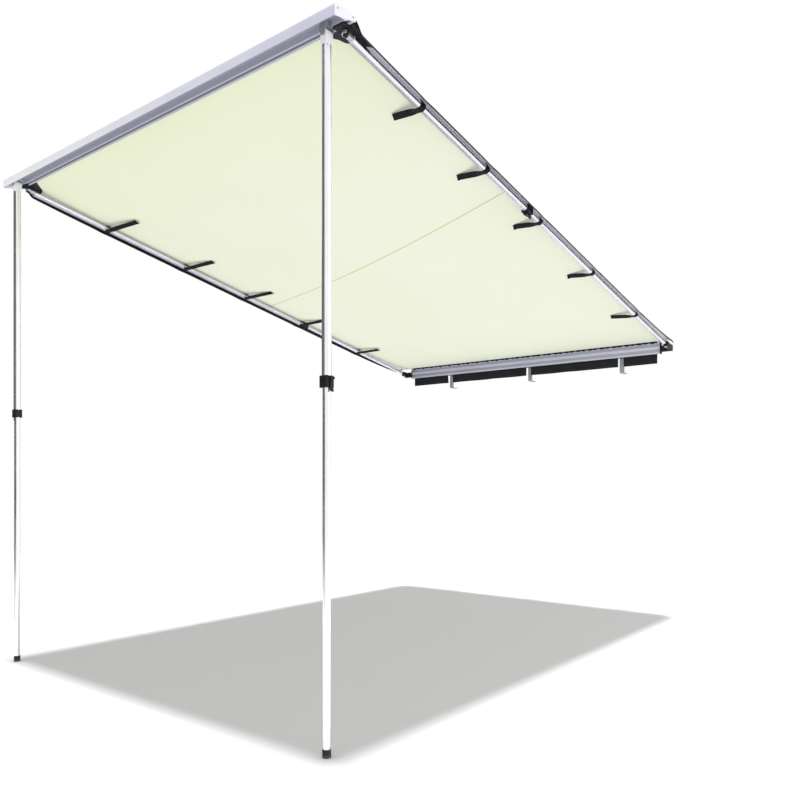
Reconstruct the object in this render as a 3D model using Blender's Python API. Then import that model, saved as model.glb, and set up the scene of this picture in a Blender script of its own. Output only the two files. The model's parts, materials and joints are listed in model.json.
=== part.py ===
"""Vehicle side awning, opened out and standing on its two front legs.

Metres, +Z up. The origin is where the rack's rail would pass under the feet of the
three rear brackets, in the middle of the awning. The canopy reaches towards -Y,
+X is the right-hand side of someone who stands under it and looks at the vehicle.
"""

import math

import bmesh
import bpy
from mathutils import Matrix, Vector

for old in list(bpy.data.objects):
    bpy.data.objects.remove(old, do_unlink=True)

# Overall layout.
FRONT_RAIL_LENGTH = 2.100
ARM_INSET = 0.044  # arm lines in from the front rail's ends
LEG_INSET = 0.0875  # middle of the legs in from the same ends
BASE_END_SPACE = 0.058  # from the base rail's ends out to the arm lines
PROJECTION = 2.934  # from the legs' line to the front face of the base rail
CANOPY_PITCH = math.radians(11.05)
GROUND_DEPTH = 1.495  # from the bracket feet down to the ground
GAP = 0.0003  # between pieces that touch
ROUND = 20  # sides of a tube

# Slot that holds the thickened edge of a cloth, alike in both rails.
KEDER_MOUTH = 0.0030
KEDER_BORE = 0.0064
KEDER_LIP = 0.0030

# Base rail, bolted to the rack's brackets.
BASE_HEIGHT = 0.080
BASE_DEPTH = 0.028
BASE_EDGE = 0.0015
FLUTE_DEPTH = 0.005
FLUTE_SLOPE = 0.003
FLUTES = ((0.009, 0.029), (0.044, 0.063))
BASE_KEDER_HEIGHT = 0.0735
COVER_KEDER_DEPTH = 0.012
BOLT_HEIGHT = 0.045
T_MOUTH = 0.009
T_WIDTH = 0.016
T_LIP = 0.003
T_DEPTH = 0.005

# Rear brackets and their bolts.
BRACKET_PLACES = (-0.60, 0.05, 0.70)
BRACKET_WIDTH = 0.030
BRACKET_DROP = 0.095
BRACKET_THICK = 0.004
BRACKET_BEND = 0.006
BRACKET_OVER_BOLT = 0.016
FOOT_REACH = 0.060
FOOT_SLOT_WIDTH = 0.009
FOOT_SLOT_LENGTH = 0.028
FOOT_SLOT_SHIFT = 0.006
BOLT_RADIUS = 0.0040
BOLT_HOLE = 0.0043
WASHER_RADIUS = 0.0085
WASHER_THICK = 0.0016
NUT_RADIUS = 0.0075
NUT_THICK = 0.0065

# Front rail: a bull-nosed skirt, a flange over the folded legs and a rear bar.
RAIL_HEIGHT = 0.038
RAIL_FRONT = 0.040
RAIL_REAR = 0.051
RAIL_WALL = 0.0025
NOSE_RADIUS = 0.011
REAR_RADIUS = 0.004
BAR_FRONT = 0.022
BAR_BOTTOM = 0.020
BAR_KEDER_HEIGHT = 0.030
RIB_WIDTH = 0.0065
GROOVE_WALL = 0.002
GROOVE_DEPTH = 0.011
GROOVE_CORNER = 0.0015
CAP_THICK = 0.003
CAP_SPIGOT = 0.006

# Arms.
ARM_DROP = 0.009  # arm lines below the middle of the base rail, at its face
SWING_OFFSETS = {"r": 0.062, "l": 0.024}  # swing pins in front of the base rail
SWING_LEAN = math.radians(1.6)
STUD_SETBACK = 0.0545
LIP_BELOW_STUD = 0.003
FRONT_TUBE_RADIUS = 0.014
FRONT_TUBE_BORE = 0.0125
REAR_TUBE_RADIUS = 0.012
REAR_TUBE_BORE = 0.0105
COLLAR_BEFORE_STRAP = 0.0685  # free space from the right collar back to the third strap
COLLAR_BEHIND_STRAP = 0.0045  # free space from the fourth strap back to the left collar
ARM_OVERLAP = 0.100
ARM_COLLAR_LENGTH = 0.038
ARM_COLLAR_SIDE = 0.018
ARM_COLLAR_TOP = 0.0159
SWING_PIN_RADIUS = 0.005
SWING_PIN_PLAY = 0.0003
EYE_RADIUS = 0.015
EYE_HALF_HEIGHT = 0.0095
EAR_CLEARANCE = 0.0006
EAR_THICK = 0.004
EAR_RADIUS = 0.016
EYE_ROOM = 0.0172
EYE_NECK_RADIUS = 0.0090
PIN_HEAD_RADIUS = 0.0078
PIN_HEAD_THICK = 0.0055
PIN_CLIP_RADIUS = 0.0068
PIN_CLIP_THICK = 0.0022
PIN_EDGE = 0.0015
EYE_FLANGE_PLACE = 0.030
FLANGE_THICK = 0.004
PLUG_LENGTH = 0.026
WEB_INNER = 0.008
WEB_OUTER = 0.014
WEB_HALF_HEIGHT = 0.015
END_PLATE = 0.005
STUD_RADIUS = 0.005
STUD_BOSS_RADIUS = 0.008
STUD_HEAD_RADIUS = 0.0085
STUD_HEAD_THICK = 0.003
HOOK_BORE = 0.0061
HOOK_RADIUS = 0.0125
HOOK_HALF_HEIGHT = 0.005
HOOK_NECK = 0.030
BRACKET_INNER = 0.026
BRACKET_OUTER = 0.020
BRACKET_PLATE = 0.006
BRACKET_TONGUE = 0.008

# Legs.
LEG_TUBE_RADIUS = 0.015
LEG_TUBE_BORE = 0.0135
LOWER_TUBE_RADIUS = 0.0125
LOWER_TUBE_BORE = 0.0112
LEG_PASS = 0.004  # left between the folded legs
LEG_LOCK_HEIGHT = 1.1325
LEG_OVERLAP = 0.110
LEG_COLLAR_LENGTH = 0.036
LEG_COLLAR_ALONG = 0.0168
LEG_COLLAR_ACROSS = 0.0175
LEG_HEAD_HALF = 0.012
LEG_HEAD_LENGTH = 0.031
LEG_PIN_RADIUS = 0.004
LEG_PIN_PLAY = 0.0003
CLEVIS_EAR = 0.0022
CLEVIS_CLEARANCE = 0.0005
LEG_PIN_HEAD = 0.0062
LEG_PIN_HEAD_THICK = 0.0019
CLEVIS_HALF_WIDTH = 0.013
CLEVIS_EAR_RADIUS = 0.010
CLEVIS_BRIDGE_ROOM = 0.001
FOOT_HEIGHT = 0.026
FOOT_RADIUS = 0.014
FOOT_TOP_RADIUS = 0.0136
FOOT_SOLE = 0.004

# Cam levers that lock a tube in a collar.
LEVER_BARREL = 0.0045
LEVER_ROOM = 0.0005
LEVER_THICK = 0.0034
LEVER_HALF_WIDTH = 0.0060
LEVER_PIN_RADIUS = 0.0018
LEVER_PIN_PLAY = 0.0003
LUG_THICK = 0.003
LUG_RADIUS = 0.0038
LEVER_LENGTH = 0.040
LEVER_FROM_END = 0.008

# Soft goods.
CLOTH_THICK = 0.0012
CLOTH_BEAD = 0.0050
CLOTH_REST = 0.0168  # middle of the cloth above the arm lines, where it lies on the tubes
CLOTH_SAG = 0.030
CLOTH_OVERHANG = 0.012
CLOTH_LIFT_POWER = 12
CLOTH_REAR_CUT = 0.110
CLOTH_REAR_INSET = 0.006
STRAP_WIDTH = 0.025
STRAP_THICK = 0.0014
STRAP_PLACES = {  # behind the legs' line, level
    "r": (0.430, 0.845, 1.280, 1.820, 2.380),
    "l": (0.455, 0.925, 1.355, 1.815, 2.380),
}
STRAP_TAILS = {
    "r": (0.118, 0.126, 0.122, 0.124, 0.132),
    "l": (0.215, 0.205, 0.200, 0.175, 0.165),
}
STRAP_LEANS = {"r": 0.10, "l": 0.12}
STRAP_LEAVE = math.radians(190)  # round the tube from its top, where the tail leaves it
STRAP_RISES = {"r": 0.0075, "l": 0.003}  # tail's end above the arm's line, just under the cloth
COVER_INSET = 0.018  # from the base rail's ends
COVER_HANG = 0.058
COVER_THICK = 0.0016
COVER_HEM = 0.0040
COVER_FOLD = 0.0040
COVER_FOLDS = 7
COVER_NOTCH = 0.044  # opening in the cover in front of each bracket
COVER_NOTCH_TOP = 0.006  # from the base rail down to that opening
COVER_NOTCH_EDGE = 0.0006  # over which the cover's lower edge steps up to it

# Places that follow from the sizes above.
SIDES = ("r", "l")
BASE_BACK_Y = -FOOT_REACH / 2 - GAP
BASE_FACE_Y = BASE_BACK_Y - BASE_DEPTH
BASE_Z = BRACKET_DROP
LEG_Y = BASE_FACE_Y - PROJECTION
LEG_X = FRONT_RAIL_LENGTH / 2 - LEG_INSET
ARM_X = FRONT_RAIL_LENGTH / 2 - ARM_INSET
BASE_RAIL_LENGTH = 2 * (ARM_X - BASE_END_SPACE)
COVER_LENGTH = BASE_RAIL_LENGTH - 2 * COVER_INSET
ARM_FACE_Z = BASE_Z + BASE_HEIGHT / 2 - ARM_DROP
STUD_Y = LEG_Y + STUD_SETBACK
STUD_Z = ARM_FACE_Z + (BASE_FACE_Y - STUD_Y) * math.tan(CANOPY_PITCH)
LIP_Z = STUD_Z - LIP_BELOW_STUD
LEG_PIVOT_Z = LIP_Z
LEG_HEIGHT = LEG_PIVOT_Z + GROUND_DEPTH
LEG_SLOT = LEG_TUBE_RADIUS + LEG_PASS / 2
RAIL_HALF = FRONT_RAIL_LENGTH / 2 - CAP_THICK - GAP
GROOVE_FRONT = BAR_FRONT + RIB_WIDTH
GROOVE_REAR = RAIL_REAR - KEDER_LIP - KEDER_BORE - GROOVE_WALL
ARM_DIRECTION = Vector((0.0, -math.cos(CANOPY_PITCH), math.sin(CANOPY_PITCH)))
ARM_NORMAL = Vector((0.0, math.sin(CANOPY_PITCH), math.cos(CANOPY_PITCH)))


def make_material(name, colour, roughness, metallic=0.0):
    material = bpy.data.materials.new(name)
    material.use_nodes = True
    shader = material.node_tree.nodes["Principled BSDF"]
    shader.inputs["Base Color"].default_value = (*colour, 1.0)
    shader.inputs["Roughness"].default_value = roughness
    shader.inputs["Metallic"].default_value = metallic
    material.diffuse_color = (*colour, 1.0)
    return material


ALUMINIUM = make_material("aluminium", (0.72, 0.73, 0.78), 0.35, 0.9)
WHITE_RAIL = make_material("white_rail", (0.86, 0.87, 0.92), 0.35, 0.2)
PALE_CASTING = make_material("pale_casting", (0.62, 0.64, 0.67), 0.45, 0.6)
BLACK_PLASTIC = make_material("black_plastic", (0.015, 0.016, 0.020), 0.45)
RUBBER = make_material("rubber", (0.020, 0.020, 0.022), 0.80)
STEEL = make_material("steel", (0.45, 0.46, 0.48), 0.30, 1.0)
BRACKET_STEEL = make_material("bracket_steel", (0.42, 0.43, 0.46), 0.45, 0.8)
CREAM_CLOTH = make_material("cream_cloth", (0.83, 0.86, 0.66), 0.85)
WEBBING = make_material("webbing", (0.018, 0.018, 0.020), 0.85)
COVER_CLOTH = make_material("cover_cloth", (0.035, 0.037, 0.042), 0.60)


def arc(centre_a, centre_b, radius, start, end, steps):
    """Points of an arc, in degrees, both ends included."""
    points = []
    for i in range(steps + 1):
        angle = math.radians(start + (end - start) * i / steps)
        points.append((centre_a + radius * math.cos(angle), centre_b + radius * math.sin(angle)))
    return points


def rounded_box(low_a, high_a, low_b, high_b, radius, steps=4):
    return (
        arc(high_a - radius, high_b - radius, radius, 0, 90, steps)
        + arc(low_a + radius, high_b - radius, radius, 90, 180, steps)
        + arc(low_a + radius, low_b + radius, radius, 180, 270, steps)
        + arc(high_a - radius, low_b + radius, radius, 270, 360, steps)
    )


def on_axis(axis, along, a, b):
    """A point whose coordinate on the named axis is given, and the other two in order."""
    return {"x": (along, a, b), "y": (a, along, b), "z": (a, b, along)}[axis]


def prism(outline, low, high, axis):
    """Extrude a closed outline along an axis."""
    bm = bmesh.new()
    face = bm.faces.new([bm.verts.new(on_axis(axis, low, a, b)) for a, b in outline])
    grown = bmesh.ops.extrude_face_region(bm, geom=[face])["geom"]
    moved = [item for item in grown if isinstance(item, bmesh.types.BMVert)]
    bmesh.ops.translate(bm, verts=moved, vec=on_axis(axis, high - low, 0.0, 0.0))
    bmesh.ops.recalc_face_normals(bm, faces=bm.faces)
    return bm


def box(low_x, high_x, low_y, high_y, low_z, high_z):
    outline = [(low_x, low_y), (high_x, low_y), (high_x, high_y), (low_x, high_y)]
    return prism(outline, low_z, high_z, "z")


def turned(profile, axis, centre=(0.0, 0.0), sides=ROUND):
    """Turn a closed profile of (radius, place) about an axis; radius 0 closes on it."""
    bm = bmesh.new()
    rings = []
    for radius, place in profile:
        if radius == 0.0:
            rings.append([bm.verts.new(on_axis(axis, place, *centre))])
            continue
        ring = []
        for i in range(sides):
            angle = 2 * math.pi * i / sides
            a = centre[0] + radius * math.cos(angle)
            b = centre[1] + radius * math.sin(angle)
            ring.append(bm.verts.new(on_axis(axis, place, a, b)))
        rings.append(ring)
    for k, first in enumerate(rings):
        second = rings[(k + 1) % len(rings)]
        if len(first) == 1 and len(second) == 1:
            continue
        for i in range(sides):
            j = (i + 1) % sides
            corners = [first[i % len(first)], first[j % len(first)]]
            corners += [second[j % len(second)], second[i % len(second)]]
            bm.faces.new(list(dict.fromkeys(corners)))
    bmesh.ops.recalc_face_normals(bm, faces=bm.faces)
    return bm


def rod(radius, low, high, axis, centre=(0.0, 0.0), sides=ROUND):
    return turned([(0.0, low), (radius, low), (radius, high), (0.0, high)], axis, centre, sides)


def pipe(radius, bore, low, high, axis):
    return turned([(radius, low), (radius, high), (bore, high), (bore, low)], axis)


def loft(rings):
    """Skin rings of equal count, closed at both ends."""
    bm = bmesh.new()
    rows = [[bm.verts.new(point) for point in ring] for ring in rings]
    count = len(rows[0])
    for first, second in zip(rows, rows[1:]):
        for i in range(count):
            j = (i + 1) % count
            bm.faces.new((first[i], first[j], second[j], second[i]))
    bm.faces.new(rows[0])
    bm.faces.new(rows[-1])
    bmesh.ops.recalc_face_normals(bm, faces=bm.faces)
    return bm


def place(name, bm, parent, location=(0.0, 0.0, 0.0), turn=None):
    mesh = bpy.data.meshes.new(name)
    bm.to_mesh(mesh)
    bm.free()
    mesh.shade_smooth()
    mesh.set_sharp_from_angle(angle=math.radians(32))
    obj = bpy.data.objects.new(name, mesh)
    bpy.context.collection.objects.link(obj)
    obj.parent = parent
    obj.location = location
    if turn is not None:
        obj.rotation_euler = turn.to_euler()
    return obj


def piece(name, bm, material, parent=None, location=(0.0, 0.0, 0.0), turn=None):
    obj = place(name, bm, parent, location, turn)
    obj.data.materials.append(material)
    return obj


def combine(obj, bm, operation, parent=None):
    """Join, cut or keep the common part of a piece with a helper shape.

    The helper is drawn in the piece's own frame, or in that of the parent given.
    """
    helper = place(f"helper_{len(bpy.data.objects):03d}", bm, parent or obj.parent)
    if parent is None:
        helper.location = obj.location
        helper.rotation_euler = obj.rotation_euler
    helper.hide_render = True
    helper.display_type = "WIRE"
    modifier = obj.modifiers.new(f"{operation.title()} {helper.name}", "BOOLEAN")
    modifier.operation = operation
    modifier.solver = "EXACT"
    modifier.object = helper
    return helper


def empty(name, location, turn=None, parent=None):
    holder = bpy.data.objects.new(name, None)
    holder.empty_display_size = 0.05
    bpy.context.collection.objects.link(holder)
    holder.parent = parent
    holder.location = location
    if turn is not None:
        holder.rotation_euler = turn.to_euler()
    return holder


def keder_slot(start, along, inward):
    """Outline of a cloth slot, from one side of its mouth to the other.

    start is the middle of the mouth, along runs over it, inward goes into the rail.
    """
    half = KEDER_MOUTH / 2
    bore = KEDER_BORE / 2
    shape = [
        (-half, 0.0),
        (-half, KEDER_LIP),
        (-bore, KEDER_LIP + bore - half),
        (-bore, KEDER_LIP + bore + half),
        (-half, KEDER_LIP + KEDER_BORE),
        (half, KEDER_LIP + KEDER_BORE),
        (bore, KEDER_LIP + bore + half),
        (bore, KEDER_LIP + bore - half),
        (half, KEDER_LIP),
        (half, 0.0),
    ]
    points = []
    for a, b in shape:
        points.append((start[0] + along[0] * a + inward[0] * b, start[1] + along[1] * a + inward[1] * b))
    return points


def base_section():
    """Base rail in (depth behind its face, height), up the face and round."""
    outline = [(BASE_EDGE, 0.0), (0.0, BASE_EDGE)]
    for low, high in FLUTES:
        outline += [(0.0, low), (FLUTE_DEPTH, low + FLUTE_SLOPE)]
        outline += [(FLUTE_DEPTH, high - FLUTE_SLOPE), (0.0, high)]
    outline += keder_slot((0.0, BASE_KEDER_HEIGHT), (0.0, 1.0), (1.0, 0.0))
    outline += [(0.0, BASE_HEIGHT - BASE_EDGE), (BASE_EDGE, BASE_HEIGHT)]
    outline += [(BASE_DEPTH - BASE_EDGE, BASE_HEIGHT), (BASE_DEPTH, BASE_HEIGHT - BASE_EDGE)]
    lip = BASE_DEPTH - T_LIP
    floor = lip - T_DEPTH
    outline += [(BASE_DEPTH, BOLT_HEIGHT + T_MOUTH / 2), (lip, BOLT_HEIGHT + T_MOUTH / 2)]
    outline += [(lip, BOLT_HEIGHT + T_WIDTH / 2), (floor, BOLT_HEIGHT + T_WIDTH / 2)]
    outline += [(floor, BOLT_HEIGHT - T_WIDTH / 2), (lip, BOLT_HEIGHT - T_WIDTH / 2)]
    outline += [(lip, BOLT_HEIGHT - T_MOUTH / 2), (BASE_DEPTH, BOLT_HEIGHT - T_MOUTH / 2)]
    outline += [(BASE_DEPTH, BASE_EDGE), (BASE_DEPTH - BASE_EDGE, 0.0)]
    outline += keder_slot((COVER_KEDER_DEPTH, 0.0), (-1.0, 0.0), (0.0, 1.0))
    return outline


def rail_section():
    """Front rail in (behind the legs' line, above the lip)."""
    front = -RAIL_FRONT
    nose_a = front + NOSE_RADIUS
    nose_b = RAIL_HEIGHT - NOSE_RADIUS
    under = RAIL_HEIGHT - RAIL_WALL
    top = BAR_BOTTOM + GROOVE_DEPTH
    outline = [(front + 0.0026, 0.0), (front + 0.0012, 0.0014), (front + 0.0003, 0.008)]
    outline += arc(nose_a, nose_b, NOSE_RADIUS, 180, 90, 7)
    outline += arc(RAIL_REAR - REAR_RADIUS, RAIL_HEIGHT - REAR_RADIUS, REAR_RADIUS, 90, 0, 4)
    outline += keder_slot((RAIL_REAR, BAR_KEDER_HEIGHT), (0.0, -1.0), (-1.0, 0.0))
    outline += [(RAIL_REAR, BAR_BOTTOM + 0.0015), (RAIL_REAR - 0.0015, BAR_BOTTOM)]
    outline += [(GROOVE_REAR, BAR_BOTTOM), (GROOVE_REAR, top - GROOVE_CORNER)]
    outline += [(GROOVE_REAR - GROOVE_CORNER, top), (GROOVE_FRONT + GROOVE_CORNER, top)]
    outline += [(GROOVE_FRONT, top - GROOVE_CORNER), (GROOVE_FRONT, BAR_BOTTOM)]
    outline += [(BAR_FRONT + 0.001, BAR_BOTTOM), (BAR_FRONT, BAR_BOTTOM + 0.001)]
    outline += [(BAR_FRONT, under - 0.001), (BAR_FRONT - 0.001, under)]
    outline += arc(nose_a, nose_b, NOSE_RADIUS - RAIL_WALL, 90, 180, 5)
    outline += [(front + RAIL_WALL, 0.006), (front + 0.0040, 0.0030), (front + 0.0040, 0.0)]
    return outline


def cap_section():
    """End cap: the rail's outer outline, closed along the lip's level."""
    front = -RAIL_FRONT
    outline = [(front + 0.0026, 0.0), (front + 0.0012, 0.0014), (front + 0.0003, 0.008)]
    outline += arc(front + NOSE_RADIUS, RAIL_HEIGHT - NOSE_RADIUS, NOSE_RADIUS, 180, 90, 7)
    outline += arc(RAIL_REAR - REAR_RADIUS, RAIL_HEIGHT - REAR_RADIUS, REAR_RADIUS, 90, 0, 4)
    outline += [(RAIL_REAR, BAR_BOTTOM)]
    outline += arc(BAR_FRONT, BAR_BOTTOM, BAR_BOTTOM, -20, -90, 5)
    return outline


def spigot_section():
    """What of a cap fills the channel between skirt, flange and rear bar."""
    inner = -RAIL_FRONT + RAIL_WALL + GAP
    radius = NOSE_RADIUS - RAIL_WALL - GAP
    top = RAIL_HEIGHT - RAIL_WALL - GAP
    outline = [(inner, 0.010)]
    outline += arc(inner + radius, top - radius, radius, 180, 90, 4)
    outline += [(BAR_FRONT - 0.001 - GAP, top), (BAR_FRONT - 0.001 - GAP, 0.010)]
    return outline


def build_base():
    half = BASE_RAIL_LENGTH / 2
    base = empty("base_frame", (0.0, BASE_FACE_Y, BASE_Z))
    piece("base_rail", prism(base_section(), -half, half, "x"), ALUMINIUM, base)
    for number, x in enumerate(BRACKET_PLACES, start=1):
        build_bracket(number, x)
    build_cover(base)


def build_bracket(number, x):
    """A bent steel foot bracket and the bolt whose head slides in the rail's slot."""
    at = empty(f"bracket_place_{number}", (x, 0.0, 0.0))
    front = -FOOT_REACH / 2
    back = front + BRACKET_THICK
    top = BASE_Z + BOLT_HEIGHT + BRACKET_OVER_BOLT
    half = BRACKET_WIDTH / 2
    inside = BRACKET_BEND - BRACKET_THICK
    outline = [(FOOT_REACH / 2, 0.0), (FOOT_REACH / 2, BRACKET_THICK)]
    outline += arc(back + inside, BRACKET_THICK + inside, inside, 270, 180, 3)
    outline += [(back, top), (front, top)]
    outline += arc(front + BRACKET_BEND, BRACKET_BEND, BRACKET_BEND, 180, 270, 5)
    bm = prism(outline, -half, half, "x")
    corners = []
    for edge in bm.edges:
        middle = (edge.verts[0].co + edge.verts[1].co) / 2
        span = edge.verts[0].co - edge.verts[1].co
        at_end = abs(middle.y - FOOT_REACH / 2) < 1e-6 and abs(span.z) > BRACKET_THICK / 2
        at_top = abs(middle.z - top) < 1e-6 and abs(span.y) > BRACKET_THICK / 2
        if at_end or at_top:
            corners.append(edge)
    bmesh.ops.bevel(bm, geom=corners, offset=0.006, segments=3, profile=0.5, affect="EDGES")
    bracket = piece(f"foot_bracket_{number}", bm, BRACKET_STEEL, at)
    run = FOOT_SLOT_LENGTH / 2 - FOOT_SLOT_WIDTH / 2
    slot = arc(0.0, FOOT_SLOT_SHIFT + run, FOOT_SLOT_WIDTH / 2, 0, 180, 6)
    slot += arc(0.0, FOOT_SLOT_SHIFT - run, FOOT_SLOT_WIDTH / 2, 180, 360, 6)
    combine(bracket, prism(slot, -0.01, BRACKET_THICK + 0.01, "z"), "DIFFERENCE")
    bolt_z = BASE_Z + BOLT_HEIGHT
    hole = rod(BOLT_HOLE, front - 0.01, back + 0.01, "y", (0.0, bolt_z), 16)
    combine(bracket, hole, "DIFFERENCE")

    head_low = BASE_BACK_Y - T_LIP - T_DEPTH + GAP
    head_high = BASE_BACK_Y - T_LIP - GAP
    side = T_WIDTH / 2 - GAP
    seat = back + GAP
    shank = [(0.0, head_low + 0.001), (BOLT_RADIUS, head_low + 0.001), (BOLT_RADIUS, seat)]
    shank += [(WASHER_RADIUS, seat), (WASHER_RADIUS, seat + WASHER_THICK)]
    shank += [(BOLT_RADIUS, seat + WASHER_THICK), (BOLT_RADIUS, seat + WASHER_THICK + NUT_THICK + 0.003)]
    shank += [(0.0, seat + WASHER_THICK + NUT_THICK + 0.003)]
    bolt = piece(f"bracket_bolt_{number}", turned(shank, "y", (0.0, bolt_z), 16), STEEL, at)
    head = box(-side, side, head_low, head_high, bolt_z - side, bolt_z + side)
    combine(bolt, head, "UNION")
    nut_low = seat + WASHER_THICK / 2
    nut_high = seat + WASHER_THICK + NUT_THICK
    combine(bolt, rod(NUT_RADIUS, nut_low, nut_high, "y", (0.0, bolt_z), 6), "UNION")


def cover_places():
    """Places across the cover, with a step on each side of every bracket's notch."""
    columns = COVER_FOLDS * 6
    places = []
    for i in range(columns + 1):
        x = COVER_LENGTH * (i / columns - 0.5)
        if all(abs(x - bracket) > COVER_NOTCH / 2 + COVER_NOTCH_EDGE * 4 for bracket in BRACKET_PLACES):
            places.append((x, False))
    for bracket in BRACKET_PLACES:
        places.append((bracket - COVER_NOTCH / 2 - COVER_NOTCH_EDGE, False))
        places.append((bracket - COVER_NOTCH / 2, True))
        places.append((bracket + COVER_NOTCH / 2, True))
        places.append((bracket + COVER_NOTCH / 2 + COVER_NOTCH_EDGE, False))
    return sorted(places)


def build_cover(base):
    """Travel cover: its edge sits in the rail's lower slot and it hangs in slack folds.

    In front of each bracket it is cut short, and its cut edge lies just under the rail.
    """
    rows = []
    core = KEDER_LIP + KEDER_BORE / 2
    bead = CLOTH_BEAD / 2
    for height, half in ((core + bead * 0.7, bead * 0.5), (core, bead), (core - bead * 0.7, bead * 0.5)):
        rows.append((height, half, 0.0))
    rows.append((KEDER_LIP * 0.8, CLOTH_THICK / 2, 0.0))
    short_rows = list(rows)
    for share in (0.03, 0.4, 0.75):
        rows.append((-COVER_HANG * share, COVER_THICK / 2, share))
    rows.append((-COVER_HANG + COVER_HEM, COVER_HEM / 2, 1.0))
    rows.append((-COVER_HANG, COVER_HEM / 2, 1.0))
    for share in (0.2, 0.4, 0.6, 0.8, 1.0):
        short_rows.append((-COVER_NOTCH_TOP * share, COVER_THICK / 2, share * COVER_NOTCH_TOP / COVER_HANG))
    rings = []
    for x, cut_short in cover_places():
        wave = COVER_FOLD * math.sin(2 * math.pi * COVER_FOLDS * (x / COVER_LENGTH + 0.5))
        section = short_rows if cut_short else rows
        front = [(x, COVER_KEDER_DEPTH + wave * slack - half, z) for z, half, slack in section]
        back = [(x, COVER_KEDER_DEPTH + wave * slack + half, z) for z, half, slack in reversed(section)]
        rings.append(front + back)
    piece("transit_cover", loft(rings), COVER_CLOTH, base)


def swing_pivot(side):
    """Where an arm's line meets the axis of its swing pin."""
    y = BASE_FACE_Y - SWING_OFFSETS[side]
    z = ARM_FACE_Z + SWING_OFFSETS[side] * math.tan(CANOPY_PITCH)
    return Vector((side_sign(side) * ARM_X, y, z))


def side_sign(side):
    """Right is towards +X."""
    return 1.0 if side == "r" else -1.0


def arm_frame(side):
    """Turn of an arm: tipped to the canopy's pitch, pins leaning inward at the top."""
    pitch = Matrix.Rotation(-CANOPY_PITCH, 4, "X")
    lean = Matrix.Rotation(-side_sign(side) * SWING_LEAN, 4, "Y")
    return pitch @ lean


def build_hinge(side, swing):
    """Casting on the end of the base rail, with two ears round the arm's eye."""
    sign = side_sign(side)
    pivot = swing_pivot(side)
    end = BASE_RAIL_LENGTH / 2 + GAP

    def block(inner, outer, low_y, high_y, low_z, high_z):
        low_x, high_x = sorted((sign * inner, sign * outer))
        return box(low_x, high_x, low_y, high_y, low_z, high_z)

    plate = block(end, end + END_PLATE, BASE_FACE_Y, BASE_BACK_Y, BASE_Z, BASE_Z + BASE_HEIGHT)
    hinge = piece(f"hinge_bracket_{side}", plate, BLACK_PLASTIC)
    foot_z = ARM_FACE_Z
    foot = block(
        end + END_PLATE / 2,
        ARM_X + WEB_OUTER,
        BASE_FACE_Y + 0.001,
        BASE_BACK_Y - 0.002,
        foot_z - WEB_HALF_HEIGHT - 0.004,
        foot_z + WEB_HALF_HEIGHT + 0.002,
    )
    combine(hinge, foot, "UNION")
    web_low = pivot.z - WEB_HALF_HEIGHT
    web_high = pivot.z + WEB_HALF_HEIGHT - 0.001
    outline = [
        (pivot.y + 0.006, web_low + 0.002),
        (BASE_FACE_Y + 0.008, foot_z - WEB_HALF_HEIGHT - 0.002),
        (BASE_FACE_Y + 0.008, foot_z + WEB_HALF_HEIGHT),
        (pivot.y + 0.006, web_high - 0.001),
    ]
    low_x, high_x = sorted((sign * (ARM_X - WEB_INNER), sign * (ARM_X + WEB_OUTER)))
    combine(hinge, prism(outline, low_x, high_x, "x"), "UNION")
    gap = EYE_HALF_HEIGHT + EAR_CLEARANCE
    ears = rod(EAR_RADIUS, -gap - EAR_THICK, gap + EAR_THICK, "z")
    combine(hinge, ears, "UNION", swing)
    bore = SWING_PIN_RADIUS + SWING_PIN_PLAY
    room = [(0.0, -0.05), (bore, -0.05), (bore, -gap), (EYE_ROOM, -gap)]
    room += [(EYE_ROOM, gap), (bore, gap), (bore, 0.05), (0.0, 0.05)]
    combine(hinge, turned(room, "z"), "DIFFERENCE", swing)
    face = gap + EAR_THICK + GAP
    bottom = -face - PIN_HEAD_THICK
    pin = [(0.0, bottom), (PIN_HEAD_RADIUS - PIN_EDGE, bottom), (PIN_HEAD_RADIUS, bottom + PIN_EDGE)]
    pin += [(PIN_HEAD_RADIUS, -face), (SWING_PIN_RADIUS, -face), (SWING_PIN_RADIUS, face)]
    pin += [(PIN_CLIP_RADIUS, face), (PIN_CLIP_RADIUS, face + PIN_CLIP_THICK), (0.0, face + PIN_CLIP_THICK)]
    piece(f"swing_pin_{side}", turned(pin, "z"), STEEL, swing)


def arm_length(side):
    return (swing_pivot(side) - Vector((side_sign(side) * ARM_X, STUD_Y, STUD_Z))).length


def arm_place(side, behind_legs):
    """Distance from the swing pin of a place given level, behind the legs' line."""
    return (swing_pivot(side).y - LEG_Y - behind_legs) / math.cos(CANOPY_PITCH)


def collar_place(side):
    """How far behind the legs' line, level, the middle of an arm's collar lies."""
    middles = (STRAP_WIDTH + ARM_COLLAR_LENGTH) / 2
    first, second, third, fourth, fifth = STRAP_PLACES[side]
    if side == "r":
        return third - COLLAR_BEFORE_STRAP - middles
    return fourth + COLLAR_BEHIND_STRAP + middles


def lever_mesh():
    """Cam lever about the X axis, closed along +Y, its collar on the +Z side."""
    b = LEVER_BARREL
    outline = arc(0.0, 0.0, b, 90, 270, 10)
    outline += [(0.007, -0.0012), (LEVER_LENGTH - 0.010, b - LEVER_THICK - 0.0004)]
    outline += [(LEVER_LENGTH, b - LEVER_THICK - 0.0035), (LEVER_LENGTH + 0.0012, b - 0.0040)]
    outline += [(LEVER_LENGTH - 0.006, b)]
    return prism(outline, -LEVER_HALF_WIDTH, LEVER_HALF_WIDTH, "x")


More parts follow.
